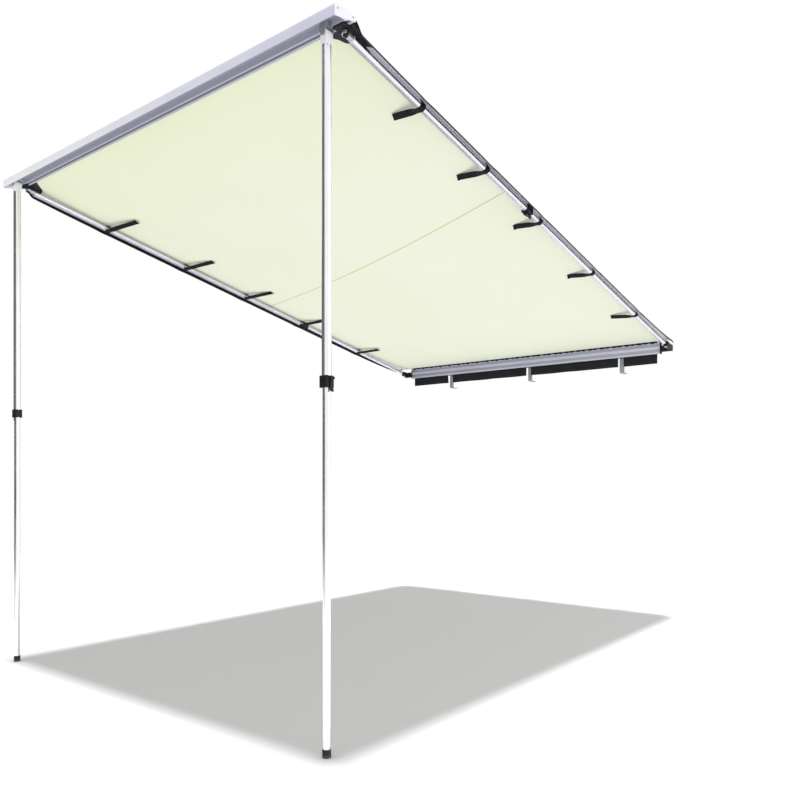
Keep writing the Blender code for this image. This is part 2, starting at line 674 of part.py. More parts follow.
def build_lock(names, parent, centre, turn, sizes):
    """Moulded collar over the step between two tubes, with its cam lever.

    In the collar's own frame the tubes run along Y, the wider one from -Y, and the
    lever lies under it, on -Z.
    """
    half_x, below, above, length, wide, narrow = sizes
    half = length / 2
    outline = rounded_box(-half_x, half_x, -below, above, 0.006)
    collar = piece(names[0], prism(outline, -half, half, "y"), BLACK_PLASTIC, parent, centre, turn)
    pin_y = -half + LEVER_FROM_END
    pin_z = -below - LEVER_ROOM - LEVER_BARREL
    for sign in (-1.0, 1.0):
        inner = LEVER_HALF_WIDTH + GAP
        low, high = sorted((sign * inner, sign * (inner + LUG_THICK)))
        lug = [(pin_y + LUG_RADIUS + 0.001, -below + 0.002)]
        lug += arc(pin_y, pin_z, LUG_RADIUS, 0, -180, 8)
        lug += [(pin_y - LUG_RADIUS - 0.001, -below + 0.002)]
        combine(collar, prism(lug, low, high, "x"), "UNION")
    bore = [(0.0, -half - 0.01), (wide, -half - 0.01), (wide, GAP)]
    bore += [(narrow, GAP), (narrow, half + 0.01), (0.0, half + 0.01)]
    combine(collar, turned(bore, "y"), "DIFFERENCE")
    hole = rod(LEVER_PIN_RADIUS + LEVER_PIN_PLAY, -0.05, 0.05, "x", (pin_y, pin_z), 12)
    combine(collar, hole, "DIFFERENCE")
    lever_place = turn @ Vector((0.0, pin_y, pin_z)) + Vector(centre)
    lever = piece(names[1], lever_mesh(), BLACK_PLASTIC, parent, lever_place, turn)
    reach = LEVER_HALF_WIDTH + GAP + LUG_THICK + 0.0006
    combine(lever, rod(LEVER_PIN_RADIUS, -reach, reach, "x", sides=12), "UNION")


def build_arm(side):
    """One telescopic arm, in a frame on its swing pin: -Y runs to the front rail."""
    swing = empty(f"swing_{side}", swing_pivot(side), arm_frame(side))
    build_hinge(side, swing)
    sign = side_sign(side)
    length = arm_length(side)
    lock = arm_place(side, collar_place(side))

    flange = EYE_FLANGE_PLACE
    eye_mesh = rod(EYE_RADIUS, -EYE_HALF_HEIGHT, EYE_HALF_HEIGHT, "z")
    eye = piece(f"rear_eye_{side}", eye_mesh, BLACK_PLASTIC, swing)
    plug = REAR_TUBE_BORE - GAP
    end = -flange - FLANGE_THICK - PLUG_LENGTH
    neck = [(0.0, -0.006), (EYE_NECK_RADIUS, -0.006), (EYE_NECK_RADIUS, -flange)]
    neck += [(REAR_TUBE_RADIUS, -flange - 0.0006), (REAR_TUBE_RADIUS, -flange - FLANGE_THICK)]
    neck += [(plug, -flange - FLANGE_THICK), (plug, end + 0.002), (plug - 0.0015, end), (0.0, end)]
    combine(eye, turned(neck, "y"), "UNION")
    combine(eye, rod(SWING_PIN_RADIUS + SWING_PIN_PLAY, -0.05, 0.05, "z"), "DIFFERENCE")
    tube_rear = -flange - FLANGE_THICK - GAP
    tube = pipe(REAR_TUBE_RADIUS, REAR_TUBE_BORE, -lock - ARM_OVERLAP, tube_rear, "y")
    piece(f"rear_tube_{side}", tube, ALUMINIUM, swing)

    tube_front = -length + HOOK_NECK
    tube = pipe(FRONT_TUBE_RADIUS, FRONT_TUBE_BORE, tube_front, -lock, "y")
    piece(f"front_tube_{side}", tube, ALUMINIUM, swing)
    sizes = (ARM_COLLAR_SIDE, ARM_COLLAR_SIDE, ARM_COLLAR_TOP, ARM_COLLAR_LENGTH)
    sizes += (FRONT_TUBE_RADIUS + GAP, REAR_TUBE_RADIUS + GAP)
    names = (f"arm_collar_{side}", f"arm_lever_{side}")
    build_lock(names, swing, (0.0, -lock, 0.0), Matrix.Identity(4), sizes)

    ring = arc(0.0, -length, HOOK_RADIUS, 0, 360, 28)[:-1]
    height = HOOK_HALF_HEIGHT
    hook = piece(f"arm_hook_{side}", prism(ring, -height, height, "z"), PALE_CASTING, swing)
    neck_box = box(-0.0085, 0.0085, -length + 0.008, tube_front - FLANGE_THICK / 2, -height, height)
    combine(hook, neck_box, "UNION")
    plug = FRONT_TUBE_BORE - GAP
    end = tube_front + PLUG_LENGTH
    back = [(0.0, tube_front - FLANGE_THICK), (FRONT_TUBE_RADIUS - 0.001, tube_front - FLANGE_THICK)]
    back += [(FRONT_TUBE_RADIUS, tube_front - FLANGE_THICK + 0.001), (FRONT_TUBE_RADIUS, tube_front - GAP)]
    back += [(plug, tube_front - GAP), (plug, end - 0.002), (plug - 0.0015, end), (0.0, end)]
    combine(hook, turned(back, "y"), "UNION")
    combine(hook, rod(HOOK_BORE, -0.02, 0.02, "z", (0.0, -length)), "DIFFERENCE")
    low, high = sorted((0.0, sign * 0.03))
    mouth = box(low, high, -length - HOOK_BORE, -length + HOOK_BORE, -0.02, 0.02)
    combine(hook, mouth, "DIFFERENCE")


def build_front_rail():
    """Front rail with its caps and, for each arm, a bracket whose stud holds the hook."""
    rail = empty("front_frame", (0.0, LEG_Y, LIP_Z))
    piece("front_rail", prism(rail_section(), -RAIL_HALF, RAIL_HALF, "x"), WHITE_RAIL, rail)
    for side in SIDES:
        sign = side_sign(side)
        low, high = sorted((sign * (RAIL_HALF + GAP), sign * (RAIL_HALF + GAP + CAP_THICK)))
        cap = piece(f"end_cap_{side}", prism(cap_section(), low, high, "x"), PALE_CASTING, rail)
        inner = sorted((sign * (RAIL_HALF - CAP_SPIGOT), sign * (RAIL_HALF + GAP + CAP_THICK / 2)))
        combine(cap, prism(spigot_section(), *inner, "x"), "UNION")

        high_z = BAR_BOTTOM - GAP
        low_z = high_z - BRACKET_PLATE
        low_x, high_x = sorted((sign * (ARM_X - BRACKET_INNER), sign * (ARM_X + BRACKET_OUTER)))
        plan = rounded_box(low_x, high_x, BAR_FRONT + 0.001, STUD_SETBACK + STUD_HEAD_RADIUS, 0.005)
        bracket = piece(f"corner_bracket_{side}", prism(plan, low_z, high_z, "z"), BLACK_PLASTIC, rail)
        tongue = box(
            low_x + 0.003,
            high_x - 0.003,
            GROOVE_FRONT + GAP,
            GROOVE_REAR - GAP,
            high_z - 0.002,
            BAR_BOTTOM + BRACKET_TONGUE,
        )
        combine(bracket, tongue, "UNION")
        pitch = Matrix.Rotation(-CANOPY_PITCH, 4, "X")
        stud = empty(f"stud_{side}", (sign * ARM_X, STUD_Y, STUD_Z), pitch)
        top = HOOK_HALF_HEIGHT + GAP
        reach = (high_z - LIP_BELOW_STUD - 0.002) / math.cos(CANOPY_PITCH)
        foot = -HOOK_HALF_HEIGHT - GAP * 2
        shape = [(0.0, reach), (STUD_BOSS_RADIUS, reach), (STUD_BOSS_RADIUS, top), (STUD_RADIUS, top)]
        shape += [(STUD_RADIUS, foot), (STUD_HEAD_RADIUS, foot)]
        shape += [(STUD_HEAD_RADIUS, foot - STUD_HEAD_THICK + 0.001)]
        shape += [(STUD_HEAD_RADIUS - 0.001, foot - STUD_HEAD_THICK), (0.0, foot - STUD_HEAD_THICK)]
        combine(bracket, turned(shape, "z"), "UNION", stud)


def build_leg(side):
    """One telescopic leg, in a frame on its fold pin: -Z runs down to the foot."""
    sign = side_sign(side)
    fold = empty(f"fold_{side}", (sign * LEG_X, LEG_Y + sign * LEG_SLOT, LEG_PIVOT_Z))
    inner = LEG_TUBE_RADIUS + CLEVIS_CLEARANCE
    outer = inner + CLEVIS_EAR
    bridge = LEG_TUBE_RADIUS + CLEVIS_BRIDGE_ROOM
    plate_top = BAR_BOTTOM - GAP
    roof = RAIL_HEIGHT - RAIL_WALL - GAP
    low_stem = max(-outer + 0.0002, -RAIL_FRONT + RAIL_WALL + NOSE_RADIUS * 0.7 - sign * LEG_SLOT)
    high_stem = min(outer - 0.0002, BAR_FRONT - 0.001 - GAP - sign * LEG_SLOT)
    ear_low = -CLEVIS_EAR_RADIUS
    outline = [(-outer, ear_low), (-inner, ear_low), (-inner, bridge), (inner, bridge)]
    outline += [(inner, ear_low), (outer, ear_low), (outer, plate_top)]
    outline += [(high_stem, plate_top), (high_stem, roof), (low_stem, roof), (low_stem, plate_top)]
    outline += [(-outer, plate_top)]
    clevis_mesh = prism(outline, -CLEVIS_HALF_WIDTH, CLEVIS_HALF_WIDTH, "x")
    clevis = piece(f"leg_clevis_{side}", clevis_mesh, PALE_CASTING, fold)
    side_view = [(CLEVIS_HALF_WIDTH + 0.001, roof + 0.01), (-CLEVIS_HALF_WIDTH - 0.001, roof + 0.01)]
    side_view += [(-CLEVIS_HALF_WIDTH - 0.001, bridge - 0.004)]
    side_view += arc(0.0, 0.0, CLEVIS_EAR_RADIUS, 190, 350, 12)
    side_view += [(CLEVIS_HALF_WIDTH + 0.001, bridge - 0.004)]
    combine(clevis, prism(side_view, -0.05, 0.05, "y"), "INTERSECT")
    hole = rod(LEG_PIN_RADIUS + LEG_PIN_PLAY, -0.05, 0.05, "y")
    combine(clevis, hole, "DIFFERENCE")
    top = outer + LEG_PIN_HEAD_THICK
    pin = [(0.0, -outer), (LEG_PIN_RADIUS, -outer), (LEG_PIN_RADIUS, outer + GAP)]
    pin += [(LEG_PIN_HEAD, outer + GAP), (LEG_PIN_HEAD, top - 0.0007)]
    pin += [(LEG_PIN_HEAD - 0.001, top), (0.0, top)]
    piece(f"leg_pin_{side}", turned(pin, "y"), STEEL, fold)

    half = LEG_HEAD_HALF
    head_outline = arc(0.0, 0.0, half, 0, 180, 12) + [(-half, -LEG_HEAD_LENGTH), (half, -LEG_HEAD_LENGTH)]
    head_half = inner - GAP
    head = piece(f"leg_head_{side}", prism(head_outline, -head_half, head_half, "y"), PALE_CASTING, fold)
    seat = -LEG_HEAD_LENGTH - 0.003
    plug = LEG_TUBE_BORE - GAP
    stem = [(0.0, -LEG_HEAD_LENGTH + 0.002), (LEG_TUBE_RADIUS - 0.001, -LEG_HEAD_LENGTH + 0.002)]
    stem += [(LEG_TUBE_RADIUS, -LEG_HEAD_LENGTH + 0.001), (LEG_TUBE_RADIUS, seat), (plug, seat)]
    end = seat - PLUG_LENGTH
    stem += [(plug, end + 0.002), (plug - 0.0015, end), (0.0, end)]
    combine(head, turned(stem, "z"), "UNION")
    combine(head, rod(LEG_PIN_RADIUS + LEG_PIN_PLAY, -0.05, 0.05, "y"), "DIFFERENCE")

    lock = -(LEG_HEIGHT - LEG_LOCK_HEIGHT)
    tube = pipe(LEG_TUBE_RADIUS, LEG_TUBE_BORE, lock, seat - GAP, "z")
    piece(f"leg_upper_{side}", tube, ALUMINIUM, fold)
    upright = Matrix.Rotation(math.radians(-90), 4, "X")
    turn = upright @ Matrix.Rotation(math.radians(-90) * sign, 4, "Y")
    sizes = (LEG_COLLAR_ALONG, LEG_COLLAR_ACROSS, LEG_COLLAR_ACROSS, LEG_COLLAR_LENGTH)
    sizes += (LEG_TUBE_RADIUS + GAP, LOWER_TUBE_RADIUS + GAP)
    names = (f"leg_collar_{side}", f"leg_lever_{side}")
    build_lock(names, fold, (0.0, 0.0, lock), turn, sizes)

    sole = -LEG_HEIGHT + FOOT_SOLE
    tube = pipe(LOWER_TUBE_RADIUS, LOWER_TUBE_BORE, sole + GAP, lock + LEG_OVERLAP, "z")
    piece(f"leg_lower_{side}", tube, ALUMINIUM, fold)
    foot = [(0.0, -LEG_HEIGHT), (FOOT_RADIUS - 0.0015, -LEG_HEIGHT), (FOOT_RADIUS, -LEG_HEIGHT + 0.0015)]
    foot += [(FOOT_TOP_RADIUS, -LEG_HEIGHT + FOOT_HEIGHT - 0.0006)]
    foot += [(FOOT_TOP_RADIUS - 0.0006, -LEG_HEIGHT + FOOT_HEIGHT)]
    foot += [(LOWER_TUBE_RADIUS + GAP, -LEG_HEIGHT + FOOT_HEIGHT), (LOWER_TUBE_RADIUS + GAP, sole)]
    foot += [(0.0, sole)]
    piece(f"leg_foot_{side}", turned(foot, "z"), RUBBER, fold)


def canopy_point(x, share):
    """Middle of the canopy cloth at x, share 0 at the front rail and 1 at the base."""
    front = Vector((x, LEG_Y + RAIL_REAR, LIP_Z + BAR_KEDER_HEIGHT))
    rear = Vector((x, BASE_FACE_Y, BASE_Z + BASE_KEDER_HEIGHT))
    arm_front = Vector((x, STUD_Y, STUD_Z))
    front_lift = (front - arm_front).dot(ARM_NORMAL)
    rear_lift = (rear - arm_front).dot(ARM_NORMAL)
    lift = CLOTH_REST + (front_lift - CLOTH_REST) * (1 - share) ** CLOTH_LIFT_POWER
    lift += (rear_lift - CLOTH_REST) * share**CLOTH_LIFT_POWER
    inside = max(0.0, 1 - (x / (ARM_X - FRONT_TUBE_RADIUS)) ** 2)
    sag = CLOTH_SAG * inside * (1 - (2 * share - 1) ** 2)
    point = front.lerp(rear, share)
    return point + ARM_NORMAL * (lift - sag - (point - arm_front).dot(ARM_NORMAL))


def canopy_half_width(share):
    """The cloth reaches past the arms, and draws in to the base rail at the rear."""
    full = ARM_X + FRONT_TUBE_RADIUS + CLOTH_OVERHANG
    last = BASE_RAIL_LENGTH / 2 - CLOTH_REAR_INSET
    run = (1 - share) * (PROJECTION - RAIL_REAR)
    if run >= CLOTH_REAR_CUT:
        return full
    return last + (full - last) * math.sin(math.pi / 2 * run / CLOTH_REAR_CUT)


def build_canopy():
    """Canopy cloth as one closed sheet, its beaded edges inside both rails' slots."""
    shares = [0.0, 0.012, 0.03, 0.06, 0.10, 0.16, 0.24, 0.33, 0.42, 0.50, 0.58, 0.67]
    shares += [0.76, 0.84, 0.90, 0.94, 0.966, 0.978, 0.990, 1.0]
    across = [-1.0, -0.985, -0.966, -0.94, -0.85, -0.72, -0.56, -0.38, -0.19, 0.0]
    across += [-value for value in reversed(across[:-1])]
    core = KEDER_LIP + KEDER_BORE / 2
    bead = CLOTH_BEAD / 2
    bead_rows = [(core + bead * 0.7, bead * 0.5), (core, bead), (core - bead * 0.7, bead * 0.5)]
    bead_rows += [(KEDER_LIP * 0.8, CLOTH_THICK / 2)]
    rings = []
    for depth, half in bead_rows:
        rings.append([Vector((0.0, -depth, 0.0)), 0.0, half])
    for share in shares:
        rings.append([Vector((0.0, 0.0, 0.0)), share, CLOTH_THICK / 2])
    for depth, half in reversed(bead_rows):
        rings.append([Vector((0.0, depth, 0.0)), 1.0, half])
    skins = []
    for shift, share, half in rings:
        width = canopy_half_width(share)
        middle = [canopy_point(width * a, share) + shift for a in across]
        up = Vector((0.0, 0.0, half)) if shift.length > 0.0 else ARM_NORMAL * half
        skins.append([point + up for point in middle] + [point - up for point in reversed(middle)])
    piece("canopy", loft(skins), CREAM_CLOTH)


def strap_path(radius, tail, rise):
    """Middle line of a strap across the arm: over, outside and under, then its tail.

    The first coordinate runs outward from the tube's middle, the second up.
    """
    middle = radius + GAP + STRAP_THICK / 2
    points = []
    first = math.radians(-72)
    for i in range(15):
        angle = first + (STRAP_LEAVE - first) * i / 14
        points.append(Vector((middle * math.sin(angle), middle * math.cos(angle))))
    start = points[-1]
    leave = Vector((math.cos(STRAP_LEAVE), -math.sin(STRAP_LEAVE)))
    end = Vector((-tail - middle, rise))
    controls = [start, start + leave * tail * 0.30, end - (end - start) * 0.33, end]
    for i in range(1, 9):
        t = i / 8
        weights = ((1 - t) ** 3, 3 * t * (1 - t) ** 2, 3 * t**2 * (1 - t), t**3)
        points.append(sum((control * w for control, w in zip(controls, weights)), Vector((0.0, 0.0))))
    return points


def build_strap(side, number, line):
    """Webbing loop that holds the canopy's edge to an arm, with a free tail inward."""
    behind = STRAP_PLACES[side][number]
    radius = FRONT_TUBE_RADIUS if behind < collar_place(side) else REAR_TUBE_RADIUS
    points = strap_path(radius, STRAP_TAILS[side][number], STRAP_RISES[side])
    along = -arm_place(side, behind)
    rings = []
    for i, point in enumerate(points):
        before = points[max(i - 1, 0)]
        after = points[min(i + 1, len(points) - 1)]
        run = (after - before).normalized()
        normal = Vector((-run.y, run.x)) * (STRAP_THICK / 2)
        lean = STRAP_LEANS[side] * max(0.0, -point.x - radius - STRAP_THICK * 2)
        low = along - STRAP_WIDTH / 2 + lean
        high = along + STRAP_WIDTH / 2 + lean
        first = point + normal
        second = point - normal
        sign = side_sign(side)
        ring = [(sign * first.x, low, first.y), (sign * first.x, high, first.y)]
        ring += [(sign * second.x, high, second.y), (sign * second.x, low, second.y)]
        rings.append(ring)
    piece(f"strap_{side}{number + 1}", loft(rings), WEBBING, line)


build_base()
build_front_rail()
build_canopy()
for arm_side in SIDES:
    build_arm(arm_side)
    build_leg(arm_side)
    arm_line = empty(f"arm_line_{arm_side}", swing_pivot(arm_side), Matrix.Rotation(-CANOPY_PITCH, 4, "X"))
    for strap_number in range(len(STRAP_PLACES[arm_side])):
        build_strap(arm_side, strap_number, arm_line)
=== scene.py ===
# %% [markdown]
# # A pull-out vehicle awning, dressed for a studio picture
#
# The awning is a roller-blind idea made by hand: a cloth is held between two aluminium
# rails, two telescopic arms push the rails apart and two telescopic legs carry the outer
# one. The sizes, joints and mounts already exist as a CAD model. This lesson adds what
# CAD leaves out: cloth that sags, webbing, round tubes without facets and real finishes.

# %% [markdown]
# ## Load the model as a fixed frame
#
# Nothing in the frame may be moved.

# %% Load the frame
import json
import math
import random

import bmesh
import bpy
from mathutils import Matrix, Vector


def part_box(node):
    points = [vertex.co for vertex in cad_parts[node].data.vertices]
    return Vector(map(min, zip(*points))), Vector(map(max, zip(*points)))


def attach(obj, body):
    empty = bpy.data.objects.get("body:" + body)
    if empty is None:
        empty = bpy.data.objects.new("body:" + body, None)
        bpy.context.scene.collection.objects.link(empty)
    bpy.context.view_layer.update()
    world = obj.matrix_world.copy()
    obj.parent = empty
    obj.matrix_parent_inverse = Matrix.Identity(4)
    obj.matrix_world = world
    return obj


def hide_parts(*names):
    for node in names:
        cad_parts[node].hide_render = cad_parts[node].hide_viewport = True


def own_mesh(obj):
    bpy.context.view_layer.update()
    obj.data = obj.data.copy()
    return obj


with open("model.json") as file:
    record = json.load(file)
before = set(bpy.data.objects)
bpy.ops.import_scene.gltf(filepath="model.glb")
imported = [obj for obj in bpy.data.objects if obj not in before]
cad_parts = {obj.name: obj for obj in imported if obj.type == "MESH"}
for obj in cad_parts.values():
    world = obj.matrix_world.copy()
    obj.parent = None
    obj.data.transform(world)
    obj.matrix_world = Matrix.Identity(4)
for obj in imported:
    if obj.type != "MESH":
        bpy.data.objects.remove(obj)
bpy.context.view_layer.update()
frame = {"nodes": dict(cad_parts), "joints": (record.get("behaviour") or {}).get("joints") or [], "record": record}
nodes = frame["nodes"]
joints = {joint["name"]: joint for joint in frame["joints"]}

# %% [markdown]
# ## Read the places that matter
#
# The cloth has to meet both rails and lie on both arms. Measuring these places in the
# frame, and not typing them again, keeps the soft goods right when the CAD changes. The
# slide joint gives the slope of the canopy, and the swing joints give the arms' lines.

# %% Directions and places of the canopy
inward = Vector(joints["canopy_slide"]["axis"]).normalized()
square = Vector((0.0, -inward.z, inward.y))
rail_low, rail_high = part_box("front_rail")
base_low, base_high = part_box("base_rail")
SIDES = {"r": ("right", 1.0), "l": ("left", -1.0)}
arm_pivots = {side: Vector(joints[f"{word}_arm_swing"]["pos_m"]) for side, (word, _) in SIDES.items()}
leg_pins = {side: Vector(joints[f"{word}_leg_fold"]["pos_m"]) for side, (word, _) in SIDES.items()}
legs_line = (leg_pins["r"].y + leg_pins["l"].y) / 2
arm_x = arm_pivots["r"].x
print("slope of the canopy:", round(math.degrees(math.asin(-inward.z)), 2), "degrees")


def reach(node, origin, direction):
    """How far a node reaches along a line: lowest and highest distance from its origin."""
    distances = [(vertex.co - origin).dot(direction) for vertex in nodes[node].data.vertices]
    return min(distances), max(distances)


def radii(node, origin, direction):
    """Bore and outer radius of a tube whose axis runs through the origin."""
    offsets = []
    for vertex in nodes[node].data.vertices:
        arm = vertex.co - origin
        offsets.append((arm - direction * arm.dot(direction)).length)
    return min(offsets), max(offsets)


# %% [markdown]
# ## Turn mesh code into pieces
#
# Each piece starts as a bmesh. One helper gives it a name, smooth faces with crisp edges,
# a finish and the body it rides on. Two more helpers cover most hardware: a profile turned
# about a line, and rings of points skinned together. Cloth is an open grid of points that a
# modifier thickens, and a stitch is a tiny square bar.


# %% Helpers for pieces
def piece(name, bm, finish, body, crisp=35.0):
    bmesh.ops.recalc_face_normals(bm, faces=bm.faces)
    mesh = bpy.data.meshes.new(name)
    bm.to_mesh(mesh)
    bm.free()
    mesh.shade_smooth()
    mesh.set_sharp_from_angle(angle=math.radians(crisp))
    mesh.materials.append(finish)
    made = bpy.data.objects.new(name, mesh)
    bpy.context.scene.collection.objects.link(made)
    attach(made, body)
    return made


def turned(profile, origin, direction, sides=64):
    """Turn a closed profile of (radius, distance) about a line; radius 0 closes on it."""
    bm = bmesh.new()
    direction = direction.normalized()
    across = direction.orthogonal().normalized()
    other = direction.cross(across)
    rings = []
    for radius, distance in profile:
        centre = origin + direction * distance
        if radius == 0.0:
            rings.append([bm.verts.new(centre)])
            continue
        ring = []
        for i in range(sides):
            angle = 2 * math.pi * i / sides
            ring.append(bm.verts.new(centre + (across * math.cos(angle) + other * math.sin(angle)) * radius))
        rings.append(ring)
    for first, second in zip(rings, rings[1:] + rings[:1]):
        if len(first) == 1 and len(second) == 1:
            continue
        for i in range(sides):
            j = (i + 1) % sides
            corners = [first[i % len(first)], first[j % len(first)]]
            corners += [second[j % len(second)], second[i % len(second)]]
            bm.faces.new(list(dict.fromkeys(corners)))
    return bm


def skinned(rings, bm=None):
    """Skin closed rings of equal count and close both ends."""
    bm = bm or bmesh.new()
    rows = [[bm.verts.new(point) for point in ring] for ring in rings]
    count = len(rows[0])
    for first, second in zip(rows, rows[1:]):
        for i in range(count):
            j = (i + 1) % count
            bm.faces.new((first[i], first[j], second[j], second[i]))
    bm.faces.new(rows[0])
    bm.faces.new(rows[-1])
    return bm


def grid(rows):
    """An open sheet through rows of points of equal count."""
    bm = bmesh.new()
    lines = [[bm.verts.new(point) for point in row] for row in rows]
    for first, second in zip(lines, lines[1:]):
        for i in range(len(first) - 1):
            bm.faces.new((first[i], first[i + 1], second[i + 1], second[i]))
    return bm


def thicken(made, name, thickness):
    """Give an open sheet its thickness, half to each side."""
    solid = made.modifiers.new(name, "SOLIDIFY")
    solid.thickness = thickness
    solid.offset = 0.0


def stitch(bm, ends, wide, tall):
    """Add one stitch between two points."""
    skinned([[end + wide + tall, end - wide + tall, end - wide - tall, end + wide - tall] for end in ends], bm)


# %% [markdown]
# ## Build finishes from a few small calls
#
# A believable finish is rarely one colour. Most of these mix two close colours with a
# noise, vary the roughness a little and add a bump at the real scale of the grain. The
# textures use object coordinates, which here are metres, so 1 / scale is a real length.


# %% Helpers for finishes
def finish(name, colour, roughness, metallic=0.0):
    material = bpy.data.materials.new(name)
    material.use_nodes = True
    shader = material.node_tree.nodes["Principled BSDF"]
    shader.inputs["Base Color"].default_value = (*colour, 1.0)
    shader.inputs["Roughness"].default_value = roughness
    shader.inputs["Metallic"].default_value = metallic
    material.diffuse_color = (*colour, 1.0)
    return material


def shader_of(material):
    return material.node_tree.nodes["Principled BSDF"]


def tune(material, **inputs):
    """Set more inputs of the shader, with _ for each space in a name."""
    for name, value in inputs.items():
        shader_of(material).inputs[name.replace("_", " ")].default_value = value


def add(material, kind, **inputs):
    node = material.node_tree.nodes.new(kind)
    for name, value in inputs.items():
        node.inputs[name.replace("_", " ")].default_value = value
    return node


def wire(material, output, socket):
    material.node_tree.links.new(output, socket)


def place_texture(material, texture, stretch=(1.0, 1.0, 1.0), tilt=0.0):
    """Feed a texture with object coordinates, stretched and tipped about the X axis."""
    coordinates = add(material, "ShaderNodeTexCoord")
    mapping = add(material, "ShaderNodeMapping", Rotation=(tilt, 0.0, 0.0))
    wire(material, coordinates.outputs["Object"], mapping.inputs["Vector"])
    scaled = add(material, "ShaderNodeVectorMath")
    scaled.operation = "MULTIPLY"
    scaled.inputs[1].default_value = stretch
    wire(material, mapping.outputs["Vector"], scaled.inputs[0])
    wire(material, scaled.outputs["Vector"], texture.inputs["Vector"])
    return texture


def noise(material, scale, detail=3.0, stretch=(1.0, 1.0, 1.0), tilt=0.0):
    texture = add(material, "ShaderNodeTexNoise", Scale=scale, Detail=detail)
    return place_texture(material, texture, stretch, tilt).outputs["Fac"]


def spread(material, value, low, high, new_low=0.0, new_high=1.0):
    """Map the stretch low to high of a value onto another one, clamped."""
    node = add(material, "ShaderNodeMapRange", From_Min=low, From_Max=high, To_Min=new_low, To_Max=new_high)
    wire(material, value, node.inputs["Value"])
    return node.outputs["Result"]


def mixed(material, factor, first, second):
    """Mix two colours, given as tuples or as sockets, and return the socket."""
    node = add(material, "ShaderNodeMix")
    node.data_type = "RGBA"
    wire(material, factor, node.inputs[0])
    for socket, colour in ((node.inputs[6], first), (node.inputs[7], second)):
        if isinstance(colour, tuple):
            socket.default_value = (*colour, 1.0)
        else:
            wire(material, colour, socket)
    return node.outputs[2]


def combined(material, operation, first, second):
    node = add(material, "ShaderNodeMath")
    node.operation = operation
    for socket, value in ((node.inputs[0], first), (node.inputs[1], second)):
        if isinstance(value, float):
            socket.default_value = value
        else:
            wire(material, value, socket)
    return node.outputs[0]


def colour_with(material, socket):
    wire(material, socket, shader_of(material).inputs["Base Color"])


def mottle(material, scale, dark, light, detail=3.0):
    """Colour a finish between two close colours."""
    colour_with(material, mixed(material, noise(material, scale, detail), dark, light))


def roughen(material, value, low, high):
    wire(material, spread(material, value, 0.3, 0.7, low, high), shader_of(material).inputs["Roughness"])


def bump(material, height, distance, strength=1.0):
    node = add(material, "ShaderNodeBump", Strength=strength, Distance=distance)
    wire(material, height, node.inputs["Height"])
    wire(material, node.outputs["Normal"], shader_of(material).inputs["Normal"])


def coordinate(material, kind, axis):
    """One axis of a kind of texture coordinate."""
    coordinates = add(material, "ShaderNodeTexCoord")
    parts = add(material, "ShaderNodeSeparateXYZ")
    wire(material, coordinates.outputs[kind], parts.inputs["Vector"])
    return parts.outputs[axis]


def facing(material, axis, low, high):
    """0 to 1 as the surface turns towards an axis of the object."""
    return spread(material, coordinate(material, "Normal", axis), low, high)


def position(material, axis, low, high):
    """0 to 1 between two places along an axis of the object, in metres."""
    return spread(material, coordinate(material, "Object", axis), low, high)


def band(material, axis, low, high, edge=0.0006):
    """1 between two places along an axis of the object and 0 outside them."""
    rising = position(material, axis, low - edge, low)
    falling = position(material, axis, high + edge, high)
    return combined(material, "MULTIPLY", rising, falling)


def beyond(start, distances):
    """Places at some distances beyond a start."""
    return [start + distance for distance in distances]


# %% [markdown]
# ## Anodised tube and extrusion
#
# Drawn aluminium keeps faint lines along its length, and anodising turns the mirror into
# a soft satin. A noise squeezed across the metal and stretched along it gives the lines,
# for colour, roughness and bump at once. The direction differs between arms, legs and
# rail, so one function makes three finishes. The base rail's flutes lie deeper than its
# ribs, so they get a painted shade: the colour turns darker within a band of depth behind
# the rail's face.

# %% Anodised aluminium
ANODISED = (0.93, 0.93, 0.95)
ANODISED_SHADE = (0.86, 0.86, 0.89)
ARM_METAL = (0.71, 0.71, 0.79)
ARM_SHADE = (0.64, 0.64, 0.72)
RIB_METAL = (0.76, 0.76, 0.88)
RIB_SHADE = (0.69, 0.69, 0.81)
# Painted shade for the base rail's flutes.
FLUTE_PAINTED_SHADE = (0.50, 0.51, 0.66)
FLUTE_PAINTED_SHADE_DARK = (0.44, 0.45, 0.59)
FLUTE_DEPTH = (0.003, 0.0056)
LINES_PER_METRE = 900.0
LINE_STRETCH = 0.004


def anodised(name, along, tilt=0.0, rough=0.22, metallic=1.0, colours=(ANODISED_SHADE, ANODISED)):
    """A drawn finish, and the socket of its colour for a finish that needs another one on top."""
    material = finish(name, colours[1], rough, metallic)
    stretch = tuple(LINE_STRETCH if axis == along else 1.0 for axis in "XYZ")
    lines = noise(material, LINES_PER_METRE, 2.0, stretch, tilt)
    clouds = noise(material, 9.0, 3.0)
    both = combined(material, "MULTIPLY", combined(material, "ADD", lines, clouds), 0.5)
    colour = mixed(material, spread(material, both, 0.35, 0.65), *colours)
    colour_with(material, colour)
    roughen(material, both, rough - 0.04, rough + 0.08)
    bump(material, lines, 0.00003, 0.4)
    return material, colour, both


slope = math.asin(-inward.z)
arm_metal = anodised("anodised_arm", "Y", slope, 0.26, 1.0, (ARM_SHADE, ARM_METAL))[0]
leg_metal = anodised("anodised_leg", "Z")[0]
base_metal, rib_colour, base_lines = anodised("anodised_base_rail", "X", 0.0, 0.38, 0.6, (RIB_SHADE, RIB_METAL))
# Painted shade: the flutes lie deeper than the ribs, so they are coloured darker.
painted_flute_shade = mixed(base_metal, base_lines, FLUTE_PAINTED_SHADE_DARK, FLUTE_PAINTED_SHADE)
flute_shade_mask = band(base_metal, "Y", *beyond(base_low.y, FLUTE_DEPTH))
colour_with(base_metal, mixed(base_metal, flute_shade_mask, rib_colour, painted_flute_shade))
print("finishes: anodised arm, leg and base rail")
